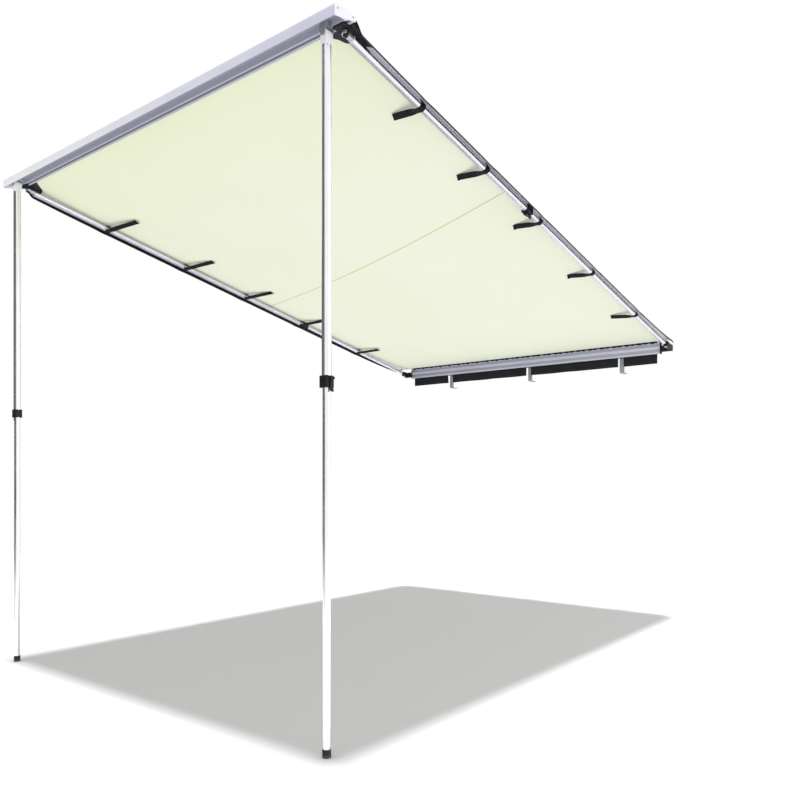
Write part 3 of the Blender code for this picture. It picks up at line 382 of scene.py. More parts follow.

# %% [markdown]
# ## Painted rail, cast ends and steel
#
# The outer rail is the face of the awning, powder-coated in a cool white. Powder levels
# into a very shallow orange peel. The rail is one extrusion, and its greys are painted
# light and shade: its front face is painted from white at the left end to a lilac shade
# at the right, and its skirt, channel and groove, which face down, get a painted shade
# by their place behind the face. The end caps have a coat of their own, the leg hinges
# are cast grey with a sandy skin and the leg heads are bright plugs. Bolts and pins are
# zinc-plated, and the foot brackets are dull galvanised.

# %% Coated metals and steel
RAIL_WHITE = (0.98, 0.98, 0.99)
RAIL_WHITE_SHADE = (0.95, 0.96, 0.97)
CAP_WHITE = (0.84, 0.84, 0.88)
CAP_SHADE = (0.80, 0.80, 0.85)
# Painted shade for the right end of the rail's front face.
RAIL_PAINTED_FACE_SHADE = (0.68, 0.68, 0.84)
# Painted shade for the rail's underside, and a deeper painted shade for its channel and groove.
RAIL_UNDER_PAINTED_SHADE = (0.50, 0.50, 0.60)
RAIL_CHANNEL_PAINTED_SHADE = (0.36, 0.38, 0.44)
FACE_DEPTH = (0.0010, 0.0018)
SKIRT_ROOM = (0.0018, 0.0611)
GROOVE_DEPTH = (0.0684, 0.0797)
GROOVE_HEIGHT = (0.0204, 0.0212)
CLOUDS = (6.0, 4.0)


def coated(name, colour, shade, roughness, peel, peel_scale, metallic=0.0):
    material = finish(name, colour, roughness, metallic)
    clouds = noise(material, *CLOUDS)
    colour_with(material, mixed(material, spread(material, clouds, 0.3, 0.7), shade, colour))
    roughen(material, clouds, roughness - 0.05, roughness + 0.08)
    bump(material, noise(material, peel_scale, 1.0), peel, 0.4)
    return material


cap_paint = coated("white_end_coat", CAP_WHITE, CAP_SHADE, 0.40, 0.00006, 500.0)
rail_paint = coated("white_rail_coat", RAIL_WHITE, RAIL_WHITE_SHADE, 0.36, 0.00006, 500.0)
clouds = spread(rail_paint, noise(rail_paint, *CLOUDS), 0.3, 0.7)
# Painted light and shade: the front face goes from white at the left end to a lilac shade at the right end.
painted_face_shade = mixed(rail_paint, clouds, tuple(0.94 * part for part in RAIL_PAINTED_FACE_SHADE), RAIL_PAINTED_FACE_SHADE)
white = mixed(rail_paint, clouds, RAIL_WHITE_SHADE, RAIL_WHITE)
face = mixed(rail_paint, position(rail_paint, "X", rail_low.x, rail_high.x), white, painted_face_shade)
# Painted shade: behind the front face, faces that do not face up are darker, darkest in the skirt's room and the
# groove.
turned_down = facing(rail_paint, "Z", 0.25, 0.0)
skirt_room = band(rail_paint, "Y", *beyond(rail_low.y, SKIRT_ROOM))
groove = band(rail_paint, "Y", *beyond(rail_low.y, GROOVE_DEPTH), 0.0003)
groove_roof = position(rail_paint, "Z", *beyond(rail_low.z, GROOVE_HEIGHT))
shaded = combined(rail_paint, "MAXIMUM", skirt_room, combined(rail_paint, "MULTIPLY", groove, groove_roof))
below = mixed(rail_paint, shaded, RAIL_UNDER_PAINTED_SHADE, RAIL_CHANNEL_PAINTED_SHADE)
behind_face = position(rail_paint, "Y", *beyond(rail_low.y, FACE_DEPTH))
painted_shade_underneath = combined(rail_paint, "MULTIPLY", turned_down, behind_face)
colour_with(rail_paint, mixed(rail_paint, painted_shade_underneath, face, below))
pale_casting = coated("pale_casting", (0.84, 0.85, 0.88), (0.74, 0.75, 0.78), 0.32, 0.00010, 1400.0, 0.8)
casting = coated("cast_grey", (0.56, 0.57, 0.60), (0.34, 0.35, 0.38), 0.42, 0.00012, 1400.0, 0.4)
plug_coat = coated("bright_leg_plug", (0.93, 0.93, 0.95), (0.88, 0.88, 0.91), 0.34, 0.00006, 900.0)
zinc = coated("zinc_plate", (0.62, 0.63, 0.64), (0.50, 0.51, 0.50), 0.30, 0.00003, 1800.0, 1.0)
galvanised = coated("galvanised_bracket", (0.50, 0.51, 0.54), (0.36, 0.37, 0.40), 0.46, 0.00006, 300.0, 0.7)
print("finishes: white coats, castings, leg plug, zinc, galvanised")

# %% [markdown]
# ## Moulded plastic and rubber
#
# Black mouldings look flat unless their skin catches light. A fine spark-eroded grain
# breaks up the gloss, and a little dust settles on what faces up. The rubber feet stand
# on the ground, so they get duller and lighter towards the sole.

# %% Plastic and rubber
PLASTIC = (0.012, 0.012, 0.015)
DUST = (0.07, 0.07, 0.068)
BLACK_GLOSS = 0.22
RUBBER = (0.020, 0.020, 0.021)
SCUFFED = (0.16, 0.155, 0.145)
SCUFF_HEIGHT = 0.012

moulding = finish("black_moulding", PLASTIC, 0.45)
grain = noise(moulding, 2600.0, 2.0)
upward = facing(moulding, "Z", 0.55, 1.0)
dust = combined(moulding, "MULTIPLY", upward, spread(moulding, noise(moulding, 60.0), 0.4, 0.9))
colour_with(moulding, mixed(moulding, dust, PLASTIC, DUST))
roughen(moulding, noise(moulding, 35.0), 0.40, 0.56)
bump(moulding, grain, 0.00005, 0.6)
tune(moulding, Specular_IOR_Level=BLACK_GLOSS)

rubber = finish("foot_rubber", RUBBER, 0.85)
ground_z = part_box("leg_foot_r")[0].z
near_sole = position(rubber, "Z", ground_z + SCUFF_HEIGHT, ground_z)
scuff = combined(rubber, "MULTIPLY", near_sole, noise(rubber, 240.0, 4.0))
colour_with(rubber, mixed(rubber, scuff, RUBBER, SCUFFED))
bump(rubber, noise(rubber, 900.0), 0.0001, 0.5)
print("finishes: black moulding, foot rubber")

# %% [markdown]
# ## Woven finishes
#
# The canopy is a coated canvas in a pale lime cream, a little darker and yellower towards
# the outer rail. Two sine waves at right angles make a plain weave, and a slow noise keeps
# the wide field from looking printed. Webbing is ribbed across its width, the travel cover
# is a coated cloth with a pebbled grain, and the hem tape is a flat pale grey band.

# %% Canvas, tapes and cover cloth
CANVAS_THREADS = 1100.0
TAPE_THREADS = 900.0
WAVES_AT_SCALE_1 = 20.0
FRONT_TINT_RUN = 0.75
CANVAS = (0.895, 0.920, 0.760)
CANVAS_SHADE = (0.865, 0.895, 0.700)
CANVAS_EDGE = (0.850, 0.890, 0.620)


def weave(material, per_metre, tilt=0.0):
    """Height of a plain weave in the XY plane, tipped about X."""
    height = None
    for axis in ("X", "Y"):
        texture = add(material, "ShaderNodeTexWave", Scale=per_metre / WAVES_AT_SCALE_1, Distortion=0.4)
        texture.bands_direction = axis
        place_texture(material, texture, tilt=tilt)
        wave = texture.outputs["Fac"]
        height = wave if height is None else combined(material, "MAXIMUM", height, wave)
    return height


canvas = finish("cream_canvas", CANVAS, 0.88)
slow = combined(canvas, "MULTIPLY", noise(canvas, 0.9, 3.0), 0.8)
fibres = combined(canvas, "MULTIPLY", noise(canvas, 700.0, 2.0), 0.2)
field = combined(canvas, "ADD", slow, fibres)
field_colour = mixed(canvas, spread(canvas, field, 0.36, 0.64), CANVAS_SHADE, CANVAS)
# Darker and yellower towards the front rail.
front_tint = combined(canvas, "MULTIPLY", position(canvas, "Y", legs_line + FRONT_TINT_RUN, legs_line), 0.8)
colour_with(canvas, mixed(canvas, front_tint, field_colour, CANVAS_EDGE))
bump(canvas, weave(canvas, CANVAS_THREADS, slope), 0.00006, 0.5)
tune(canvas, Sheen_Weight=0.12)

tape = finish("grey_hem_tape", (0.93, 0.93, 0.96), 0.85)
mottle(tape, 500.0, (0.90, 0.90, 0.94), (0.95, 0.95, 0.98))
bump(tape, weave(tape, TAPE_THREADS, slope), 0.00008, 0.6)

patch_cloth = finish("patch_cloth", (0.035, 0.036, 0.042), 0.82)
mottle(patch_cloth, 400.0, (0.026, 0.027, 0.032), (0.044, 0.046, 0.052))
bump(patch_cloth, weave(patch_cloth, TAPE_THREADS, slope), 0.0001, 0.7)
tune(patch_cloth, Specular_IOR_Level=BLACK_GLOSS)

webbing = finish("black_webbing", (0.016, 0.017, 0.021), 0.72)
ribs = add(webbing, "ShaderNodeTexWave", Scale=28.0, Distortion=0.3)
ribs.bands_direction = "X"
place_texture(webbing, ribs)
colour_with(webbing, mixed(webbing, ribs.outputs["Fac"], (0.004, 0.005, 0.007), (0.014, 0.016, 0.021)))
bump(webbing, ribs.outputs["Fac"], 0.00025, 0.8)
tune(webbing, Sheen_Weight=0.03, Specular_IOR_Level=0.12)

cover_cloth = finish("cover_cloth", (0.035, 0.036, 0.042), 0.48)
pebbles = add(cover_cloth, "ShaderNodeTexVoronoi", Scale=520.0)
place_texture(cover_cloth, pebbles)
mottle(cover_cloth, 14.0, (0.009, 0.008, 0.012), (0.020, 0.018, 0.024), 4.0)
roughen(cover_cloth, noise(cover_cloth, 20.0), 0.42, 0.58)
bump(cover_cloth, pebbles.outputs["Distance"], 0.00012, 0.6)
tune(cover_cloth, Specular_IOR_Level=0.15)

thread = finish("olive_thread", (0.62, 0.64, 0.26), 0.80)
mottle(thread, 900.0, (0.56, 0.58, 0.20), (0.70, 0.72, 0.34))
stitching = finish("dark_stitching", (0.07, 0.07, 0.075), 0.7)
mottle(stitching, 1200.0, (0.05, 0.05, 0.055), (0.11, 0.11, 0.115))
print("finishes: canvas, tape, patch, webbing, cover cloth, thread, stitching")

# %% [markdown]
# ## Soften the edges of the mouldings and castings
#
# The CAD solids are exact and knife-sharp, and no real moulding is. A copy of each node
# gets its flat faces merged, then a small bevel that follows the corner angle, and stands
# for the node. The node itself stays in the frame untouched. The end caps are also cut
# aslant behind their lower edge.

# %% Dress the CAD nodes
EDGE = {"aluminium": 0.0004, "white_rail": 0.0005, "pale_casting": 0.0006, "black_plastic": 0.0006}
SMALL_EDGE = 0.0003
MOULDED = ("hinge_bracket", "rear_eye", "arm_collar", "arm_lever", "corner_bracket", "leg_collar", "leg_lever")
CAP_HEEL = 0.006
CAP_SLANT = (0.0, 0.0197, -0.0847)
body_of = {node: body for body, names in frame["record"]["behaviour"]["bodies"].items() for node in names}
slot_of = {row["node"]: row["material_slot"] for row in frame["record"]["subparts"]}


def soften(node, coat, slant=None):
    bm = bmesh.new()
    bm.from_mesh(nodes[node].data)
    bmesh.ops.remove_doubles(bm, verts=bm.verts, dist=0.00001)
    bmesh.ops.dissolve_limit(bm, angle_limit=math.radians(0.5), verts=bm.verts, edges=bm.edges)
    if slant:
        parts = [*bm.verts, *bm.edges, *bm.faces]
        cut = bmesh.ops.bisect_plane(bm, geom=parts, plane_co=slant[0], plane_no=slant[1], clear_outer=True)
        rim = [part for part in cut["geom_cut"] if isinstance(part, bmesh.types.BMEdge)]
        bmesh.ops.holes_fill(bm, edges=rim)
    made = piece(f"{node}_finished", bm, coat, body_of[node])
    bevel = made.modifiers.new("Soft edges", "BEVEL")
    bevel.width = EDGE.get(slot_of[node], SMALL_EDGE)
    bevel.segments = 2
    bevel.limit_method = "ANGLE"
    bevel.angle_limit = math.radians(40)
    bevel.harden_normals = True
    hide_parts(node)


coats = {"base_rail": base_metal, "front_rail": rail_paint}
for side in SIDES:
    coats[f"leg_clevis_{side}"] = casting
    coats[f"leg_head_{side}"] = plug_coat
    coats[f"arm_hook_{side}"] = pale_casting
    for name in MOULDED:
        coats[f"{name}_{side}"] = moulding
    for name in ("swing_pin", "leg_pin"):
        coats[f"{name}_{side}"] = zinc
for number in (1, 2, 3):
    coats[f"foot_bracket_{number}"] = galvanised
    coats[f"bracket_bolt_{number}"] = zinc
for node, coat in coats.items():
    soften(node, coat)
cap_cut = (Vector((0.0, rail_low.y + CAP_HEEL, rail_low.z)), Vector(CAP_SLANT).normalized())
for side in SIDES:
    soften(f"end_cap_{side}", cap_paint, cap_cut)
print("softened:", len(coats) + len(SIDES), "nodes")

# %% [markdown]
# ## Draw the telescopic tubes round
#
# A CAD tube with twenty flat sides is enough for fitting and collision, but light runs
# along a tube in one long streak and every flat breaks it. Each tube is turned again with
# 64 sides from the bore, radius and length measured in the frame, with fine end chamfers.

# %% Tubes of the arms and legs
TUBE_EDGE = 0.0004
outward = -inward
DOWN = Vector((0.0, 0.0, -1.0))
tube_runs = {}


def tube(node, body, coat, origin, direction):
    low, high = reach(node, origin, direction)
    bore, outer = radii(node, origin, direction)
    edge = TUBE_EDGE
    profile = [(bore, low + edge), (bore + edge, low), (outer - edge, low), (outer, low + edge)]
    profile += [(outer, high - edge), (outer - edge, high), (bore + edge, high), (bore, high - edge)]
    made = piece(f"{node}_round", turned(profile, origin, direction), coat, body)
    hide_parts(node)
    tube_runs[node] = low, high, outer


for side, (word, _) in SIDES.items():
    for part in ("rear", "front"):
        tube(f"{part}_tube_{side}", f"{word}_arm_{part}", arm_metal, arm_pivots[side], outward)
    for part in ("upper", "lower"):
        tube(f"leg_{part}_{side}", f"{word}_leg_{part}", leg_metal, leg_pins[side], DOWN)
print("tubes:", {name: round(high - low, 3) for name, (low, high, _) in tube_runs.items()})

# %% [markdown]
# ## Rivets that hold the plugs
#
# Each tube end sits on a plug and is held by a blind rivet. A rivet head is a shallow dome
# with a small dimple where its pin broke off, so a six-point profile turned about a line
# that leaves the tube sideways is all it needs.

# %% Blind rivets
RIVET_RADIUS = 0.0026
RIVET_SETBACK = 0.013
RIVET_SUNK = 0.0006
FRONT_WAY = Vector((0.0, -1.0, 0.0))


def rivet(name, body, origin, direction, distance, side_way, outer):
    base = origin + direction * distance + side_way * (outer - RIVET_SUNK)
    r = RIVET_RADIUS
    profile = [(0.0, 0.0), (r, 0.0), (r, 0.0007), (r * 0.8, 0.0013), (r * 0.42, 0.0016)]
    profile += [(r * 0.34, 0.0010), (0.0, 0.0009)]
    piece(name, turned(profile, base, side_way, 20), zinc, body)


for side, (word, sign) in SIDES.items():
    inner_side = Vector((-sign, 0.0, 0.0))
    arm, leg = arm_pivots[side], leg_pins[side]
    _, high, outer = tube_runs[f"front_tube_{side}"]
    rivet(f"rivet_hook_{side}", f"{word}_arm_front", arm, outward, high - RIVET_SETBACK, inner_side, outer)
    low, _, outer = tube_runs[f"rear_tube_{side}"]
    rivet(f"rivet_eye_{side}", f"{word}_arm_rear", arm, outward, low + RIVET_SETBACK, inner_side, outer)
    low, _, outer = tube_runs[f"leg_upper_{side}"]
    rivet(f"rivet_head_{side}", f"{word}_leg_upper", leg, DOWN, low + RIVET_SETBACK, FRONT_WAY, outer)
print("rivets:", 3 * len(SIDES))

# %% [markdown]
# ## Ribbed rubber feet
#
# The leg ends in a rubber crutch tip. Real tips have grip ribs round the sleeve and a
# flared sole, which a turned profile with three small grooves shows well.

# %% Feet
RIBS = 3
RIB_DEPTH = 0.0007
RIB_PITCH = 0.0045
FIRST_RIB = 0.0085


def rubber_foot(side, word):
    origin = leg_pins[side]
    top, bottom = reach(f"leg_foot_{side}", origin, DOWN)
    outer = radii(f"leg_foot_{side}", origin, DOWN)[1]
    bore = tube_runs[f"leg_lower_{side}"][2] + 0.0003
    sleeve = outer - 0.0004
    profile = [(0.0, bottom - 0.0012), (outer * 0.55, bottom - 0.0012), (outer * 0.6, bottom)]
    profile += [(outer - 0.0012, bottom), (outer, bottom - 0.0012), (sleeve, bottom - 0.0045)]
    for number in range(RIBS):
        groove = bottom - FIRST_RIB - RIB_PITCH * number
        profile += [(sleeve, groove + 0.0012), (sleeve - RIB_DEPTH, groove + 0.0006)]
        profile += [(sleeve - RIB_DEPTH, groove - 0.0006), (sleeve, groove - 0.0012)]
    profile += [(sleeve, top + 0.0006), (sleeve - 0.0006, top), (bore, top), (bore, bottom - 0.004)]
    profile += [(0.0, bottom - 0.004)]
    made = piece(f"leg_foot_{side}_ribbed", turned(profile, origin, DOWN, 48), rubber, f"{word}_leg_lower")
    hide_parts(f"leg_foot_{side}")


for side, (word, _) in SIDES.items():
    rubber_foot(side, word)
print("feet: ribbed, standing at", round(ground_z, 4))

# %% [markdown]
# ## The surface of the canopy
#
# The canopy is one cloth, beaded into a slot in each rail and lying on both arms. Between
# the arms it sags by some 30 mm, and towards each rail it lifts into the slot. Outside the
# arms a loose flap hangs down a little, and small puckers run from the straps and corners.
# A formula for one point of that surface is worth more than any mesh, because the hems,
# patches, seam and straps can all ask it where the cloth is.

# %% Canopy surface
FRONT_SLOT_HEIGHT = 0.030
REAR_SLOT_HEIGHT = 0.0735
CLOTH_REST = 0.0176
CLOTH_SAG = 0.030
CLOTH_THICK = 0.0009
SLOT_DEPTH = 0.006
LIFT_POWER = 12
OVERHANG = 0.021
FLAP_DROP = 0.020
FLAP_START = 0.012
FLAP_CURVE = 1.7
FRONT_HOLD = 0.05
REAR_HOLD = 0.03
REAR_CUT = 0.035
REAR_INSET = 0.006
EDGE_DIP = 0.0018
STRAP_PUCKER = 0.0011
CORNER_PUCKER = 0.0016
PATCH_LINE = 0.052
STRAP_PLACES = {"r": (0.430, 0.845, 1.280, 1.820, 2.380), "l": (0.455, 0.925, 1.355, 1.815, 2.380)}

front_tube_radius = tube_runs["front_tube_r"][2]
rear_tube_radius = tube_runs["rear_tube_r"][2]
edge_x = arm_x + front_tube_radius + OVERHANG
front_slot = Vector((0.0, rail_high.y, rail_low.z + FRONT_SLOT_HEIGHT))
rear_slot = Vector((0.0, base_low.y, base_low.z + REAR_SLOT_HEIGHT))
canopy_run = (rear_slot - front_slot).length
level_run = rear_slot.y - front_slot.y


def height_over_arms(point):
    return (point - arm_pivots["r"]).dot(square)


def share_at(behind):
    """Share of the canopy, 0 front and 1 rear, at a level distance behind the legs' line."""
    return (legs_line + behind - front_slot.y) / level_run


def half_width(share):
    last = base_high.x - REAR_INSET
    run = (1.0 - share) * level_run
    if run >= REAR_CUT:
        return edge_x
    return last + (edge_x - last) * math.sin(math.pi / 2 * max(run, 0.0) / REAR_CUT)


def smooth(value):
    value = min(max(value, 0.0), 1.0)
    return value * value * (3.0 - 2.0 * value)


def puckers(x, share):
    """Small heights that pull at the straps and corners leave in the cloth."""
    behind = share * level_run + front_slot.y - legs_line
    from_arm = abs(x) - arm_x
    height = 0.0
    for place in STRAP_PLACES["r" if x > 0 else "l"]:
        along = behind - place
        if abs(along) > 0.25:
            continue
        height -= EDGE_DIP * smooth((from_arm - 0.010) / 0.014) * math.exp(-((along / 0.030) ** 2))
        if from_arm < -0.02:
            away = math.hypot(along, from_arm + 0.02)
            turn = math.atan2(along, -from_arm - 0.02)
            height += STRAP_PUCKER * math.cos(7.0 * turn) * math.exp(-away / 0.055) * smooth(away / 0.03)
    for end in (share_at(PATCH_LINE), 1.0):
        run = abs(share - end) * level_run
        away = math.hypot(run, from_arm + 0.03)
        if away < 0.4 and from_arm < -0.025:
            turn = math.atan2(run, -from_arm - 0.03)
            fan = math.sin(9.0 * turn) * math.exp(-away / 0.11)
            height += CORNER_PUCKER * fan * smooth(away / 0.05) * smooth(run / 0.04)
    return height


def flap(x, share):
    """How far the loose edge outside an arm hangs down, less where the rails hold it straight."""
    out = (abs(x) - arm_x - FLAP_START) / (front_tube_radius + OVERHANG - FLAP_START)
    held = smooth(share * level_run / FRONT_HOLD) * smooth((1.0 - share) * level_run / REAR_HOLD)
    return FLAP_DROP * max(out, 0.0) ** FLAP_CURVE * held


def cloth_point(x, share, above=0.0):
    point = front_slot.lerp(rear_slot, share)
    lift = CLOTH_REST + (height_over_arms(front_slot) - CLOTH_REST) * (1.0 - share) ** LIFT_POWER
    lift += (height_over_arms(rear_slot) - CLOTH_REST) * share**LIFT_POWER
    inside = max(0.0, 1.0 - (x / (arm_x - front_tube_radius)) ** 2)
    lift -= CLOTH_SAG * inside * (1.0 - (2.0 * share - 1.0) ** 2)
    lift += puckers(x, share) - flap(x, share) + above
    return Vector((x, point.y, point.z)) + square * (lift - height_over_arms(point))


middle = cloth_point(0.0, 0.5)
print("canopy:", round(canopy_run, 3), "m long, middle", round(height_over_arms(middle), 4), "over the arms")

# %% [markdown]
# ## Cut and hang the cloth
#
# The sheet is a grid of about 160 by 230 points through that surface, with closer columns
# in the flaps outside the arms and one more row at each end inside the rail's slot. The
# same modifier as for every cloth gives its thickness. It rides on the base.

# %% Canopy cloth
INNER_COLUMNS = 124
FLAP_COLUMNS = 18
FLAP_FIELD = 0.062
ROWS = 230
TRAVEL = joints["canopy_slide"]["range_m"][1]


def follows_slide(made):
    """Ride on the base, with a mesh of its own."""
    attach(made, "base")
    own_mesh(made)


inner = 1.0 - FLAP_FIELD / edge_x
columns = [-1.0 + (1.0 - inner) * i / FLAP_COLUMNS for i in range(FLAP_COLUMNS)]
columns += [inner * (2 * i / INNER_COLUMNS - 1) for i in range(INNER_COLUMNS + 1)]
columns += [inner + (1.0 - inner) * (i + 1) / FLAP_COLUMNS for i in range(FLAP_COLUMNS)]
rows = [[cloth_point(half_width(j / ROWS) * column, j / ROWS) for column in columns] for j in range(ROWS + 1)]
rows.insert(0, [point + Vector((0.0, -SLOT_DEPTH, 0.0)) for point in rows[0]])
rows.append([point + Vector((0.0, SLOT_DEPTH, 0.0)) for point in rows[-1]])
cloth_mesh = grid(rows)
cloth_area = sum(face.calc_area() for face in cloth_mesh.faces)
canopy = piece("canopy_cloth", cloth_mesh, canvas, "base", 80.0)
thicken(canopy, "Cloth thickness", CLOTH_THICK)
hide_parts("canopy")

# %% [markdown]
# ## Hems and edge binding
#
# Each long edge is wrapped in a pale grey tape, 38 mm wide on both faces, and finished
# with a flat black binding. The tape is a strip whose cross-section goes over, round and
# under the cloth's edge, and it asks the surface formula for every point, so it hangs with
# the flap and dips where the straps pull the edge down. The binding is a flat oval, skinned
# along the same edge.

# %% Side hems
TAPE_WIDTH = 0.038
TAPE_THICK = 0.0004
TAPE_LIFT = CLOTH_THICK / 2 + 0.0007
TAPE_RUN = (0.001, 0.9975)
HEM_ROWS = 260
BINDING_HALF_WIDTH = 0.0085
BINDING_HALF_HEIGHT = 0.0026
BINDING_INSET = 0.0015
BINDING_RUN = (0.002, 0.995)
BINDING_SIDES = 8
across = [(-TAPE_WIDTH * (1.0 - step / 9), 1.0) for step in range(9)]
turn = [(-0.0008, 1.0), (0.0004, 0.5), (0.0006, 0.0), (0.0004, -0.5), (-0.0008, -1.0)]
TAPE_SECTION = across + turn + [(x, -up) for x, up in reversed(across)]
BINDING_SECTION = []
for k in range(BINDING_SIDES):
    angle = 2 * math.pi * k / BINDING_SIDES
    BINDING_SECTION.append((BINDING_HALF_WIDTH * math.cos(angle), BINDING_HALF_HEIGHT * math.sin(angle)))
hems = []
for side, (_, sign) in SIDES.items():
    strip, rings = [], []
    for j in range(HEM_ROWS + 1):
        share = TAPE_RUN[0] + TAPE_RUN[1] * j / HEM_ROWS
        edge = half_width(share)
        strip.append([cloth_point(sign * (edge + x), share, TAPE_LIFT * up) for x, up in TAPE_SECTION])
        share = BINDING_RUN[0] + BINDING_RUN[1] * j / HEM_ROWS
        edge = half_width(share) - BINDING_INSET
        rings.append([cloth_point(sign * (edge + x), share, up) for x, up in BINDING_SECTION])
    hem = piece(f"hem_tape_{side}", grid(strip), tape, "base", 80.0)
    thicken(hem, "Tape thickness", TAPE_THICK)
    binding = piece(f"edge_binding_{side}", skinned(rings), webbing, "base", 60.0)
    hems += [hem, binding]
print("hems:", len(hems))

# %% [markdown]
# ## Corner patches, seam and rear welt
#
# The front corners carry a dark patch under the cloth, and one long seam crosses the
# cloth askew and slightly bent. Both are thin sheets laid under the surface. At the base
# rail the cloth ends in a black welt that turns down over the rail's face, and its lower
# edge is scalloped, because it is gathered by its own stitching.

# %% Patches, seam and welt
UNDER = -(CLOTH_THICK / 2 + 0.0005)
UNDER_TAPE = -(TAPE_LIFT + 0.0007)
TRIM_THICK = 0.0006
PATCH_OUT = 1.0390
PATCH_FRONT = 0.0530
PATCH_ROWS, PATCH_COLUMNS = 16, 24
# Corners of the patches, sideways and behind the legs' line: two in front, two behind.
PATCHES = {
    "r": ((PATCH_OUT, PATCH_FRONT), (0.9220, PATCH_FRONT), (0.9700, 0.1220), (PATCH_OUT, 0.1750)),
    "l": ((PATCH_OUT, PATCH_FRONT), (0.9300, PATCH_FRONT), (0.9850, 0.1120), (PATCH_OUT, 0.1300)),
}
SEAM_MIDDLE, SEAM_SLOPE, SEAM_BEND = 1.3085, -0.2582, -0.0112
SEAM_WIDTH = 0.0045
SEAM_INSET = 0.006
SEAM_STEPS = 200
SEAM_SECTION = ((-0.5, 0.9), (-0.2, 1.1), (0.2, 1.1), (0.5, 0.9))
WELT_DEPTH, WELT_DEPTH_WAVE = 0.012, 0.0016
WELT_DROP, WELT_DROP_WAVE = 0.0062, 0.0020
WELT_INSET = 0.014
WELT_WAVES = 46
WELT_STEPS = 400

trims = []
for side, (_, sign) in SIDES.items():
    a, b, c, d = (Vector(corner) for corner in PATCHES[side])
    rows = []
    for j in range(PATCH_ROWS + 1):
        left, right = a.lerp(d, j / PATCH_ROWS), b.lerp(c, j / PATCH_ROWS)
        line = [left.lerp(right, i / PATCH_COLUMNS) for i in range(PATCH_COLUMNS + 1)]
        rows.append([cloth_point(sign * point.x, share_at(point.y), UNDER_TAPE) for point in line])
    trims.append(piece(f"corner_patch_{side}", grid(rows), patch_cloth, "base", 80.0))

rows = []
for i in range(SEAM_STEPS + 1):
    x = (arm_x - SEAM_INSET) * (2 * i / SEAM_STEPS - 1)
    behind = SEAM_MIDDLE + SEAM_SLOPE * x + SEAM_BEND * x * x
    rows.append([cloth_point(x, share_at(behind + SEAM_WIDTH * w), UNDER * lift) for w, lift in SEAM_SECTION])
trims.append(piece("canopy_seam", grid(rows), thread, "base", 80.0))

rows = []
for i in range(WELT_STEPS + 1):
    x = (base_high.x - WELT_INSET) * (2 * i / WELT_STEPS - 1)
    wave = math.sin(2 * math.pi * WELT_WAVES * i / WELT_STEPS) + 0.6 * math.sin(0.37 * i)
    depth = WELT_DEPTH + WELT_DEPTH_WAVE * wave
    line = []
    for step in (1.0, 0.6, 0.15):
        line.append(cloth_point(x, 1.0 - depth * step / level_run, UNDER - 0.0009 * (1.0 - step)))
    corner = Vector((x, base_low.y - 0.0012, line[-1].z - 0.0005))
    drop = WELT_DROP + WELT_DROP_WAVE * wave
    line += [corner + Vector((0.0, -0.0006 * step, -drop * step)) for step in (0.0, 0.5, 1.0)]
    rows.append(line)
trims.append(piece("rear_welt", grid(rows), webbing, "base", 80.0))
for trim in trims:
    thicken(trim, "Cloth thickness", TRIM_THICK)
print("trims:", [trim.name for trim in trims])

# %% [markdown]
# ## Webbing straps
#
# Five straps a side go over the arm, round its outside and under it, and leave a free tail
# pointing inward. Webbing is flat, keeps its width and turns tight corners, so each strap
# is a flat ring carried along one path. The free tail rolls over a little, as stiff webbing
# does when nothing holds it, but never into the cloth above. Its end is cut askew, as
# scissors leave it, and a box of stitches holds the loop closed.

# %% Strap path
STRAP_WIDTH = 0.025
STRAP_THICK = 0.0014
STRAP_TAILS = {"r": (0.118, 0.126, 0.122, 0.124, 0.132), "l": (0.215, 0.205, 0.200, 0.175, 0.165)}
STRAP_LEANS = {"r": 0.10, "l": 0.12}
STRAP_RISES = {"r": 0.0075, "l": 0.003}
STRAP_START = math.radians(-72)
STRAP_LEAVE = math.radians(190)
STRAP_GAP = 0.0003
STRAP_SLANT = 0.007
STRAP_ROLLS = {"r": math.radians(26), "l": math.radians(14)}
ROLL_RUN = 0.05
LOOP_STEPS = 28
TAIL_STEPS = 24


def strap_path(radius, tail, rise):
    """Middle line of a strap across the arm: outward from the tube's middle, and up."""
    middle = radius + STRAP_GAP + STRAP_THICK / 2
    points = []
    for i in range(LOOP_STEPS + 1):
        angle = STRAP_START + (STRAP_LEAVE - STRAP_START) * i / LOOP_STEPS
        points.append(Vector((middle * math.sin(angle), middle * math.cos(angle))))
    start = points[-1]
    leave = Vector((math.cos(STRAP_LEAVE), -math.sin(STRAP_LEAVE)))
    end = Vector((-tail - middle, rise))
    controls = [start, start + leave * tail * 0.30, end - (end - start) * 0.33, end]
    for i in range(1, TAIL_STEPS + 1):
        t = i / TAIL_STEPS
        weights = ((1 - t) ** 3, 3 * t * (1 - t) ** 2, 3 * t**2 * (1 - t), t**3)
        points.append(sum((control * w for control, w in zip(controls, weights)), Vector((0.0, 0.0))))
    return points


def lengths_of(points):
    lengths = [0.0]
    for first, second in zip(points, points[1:]):
        lengths.append(lengths[-1] + (second - first).length)
    return lengths


print("strap path:", len(strap_path(front_tube_radius, 0.12, 0.0)), "points")


# %% Straps
STRAP_STEPS = 72
LEAN_START = 0.017
SECTION = ((-0.5, 0.5), (-0.46, 1.0), (0.46, 1.0), (0.5, 0.5), (0.5, -0.5), (0.46, -1.0), (-0.46, -1.0), (-0.5, -0.5))
BOX_START = 0.012
BOX_LENGTH = 0.018
BOX_HALF = 0.36
STITCH_PITCH = 0.0034


def collar_middle(side):
    low, high = reach(f"arm_collar_{side}", arm_pivots[side], outward)
    return (low + high) / 2


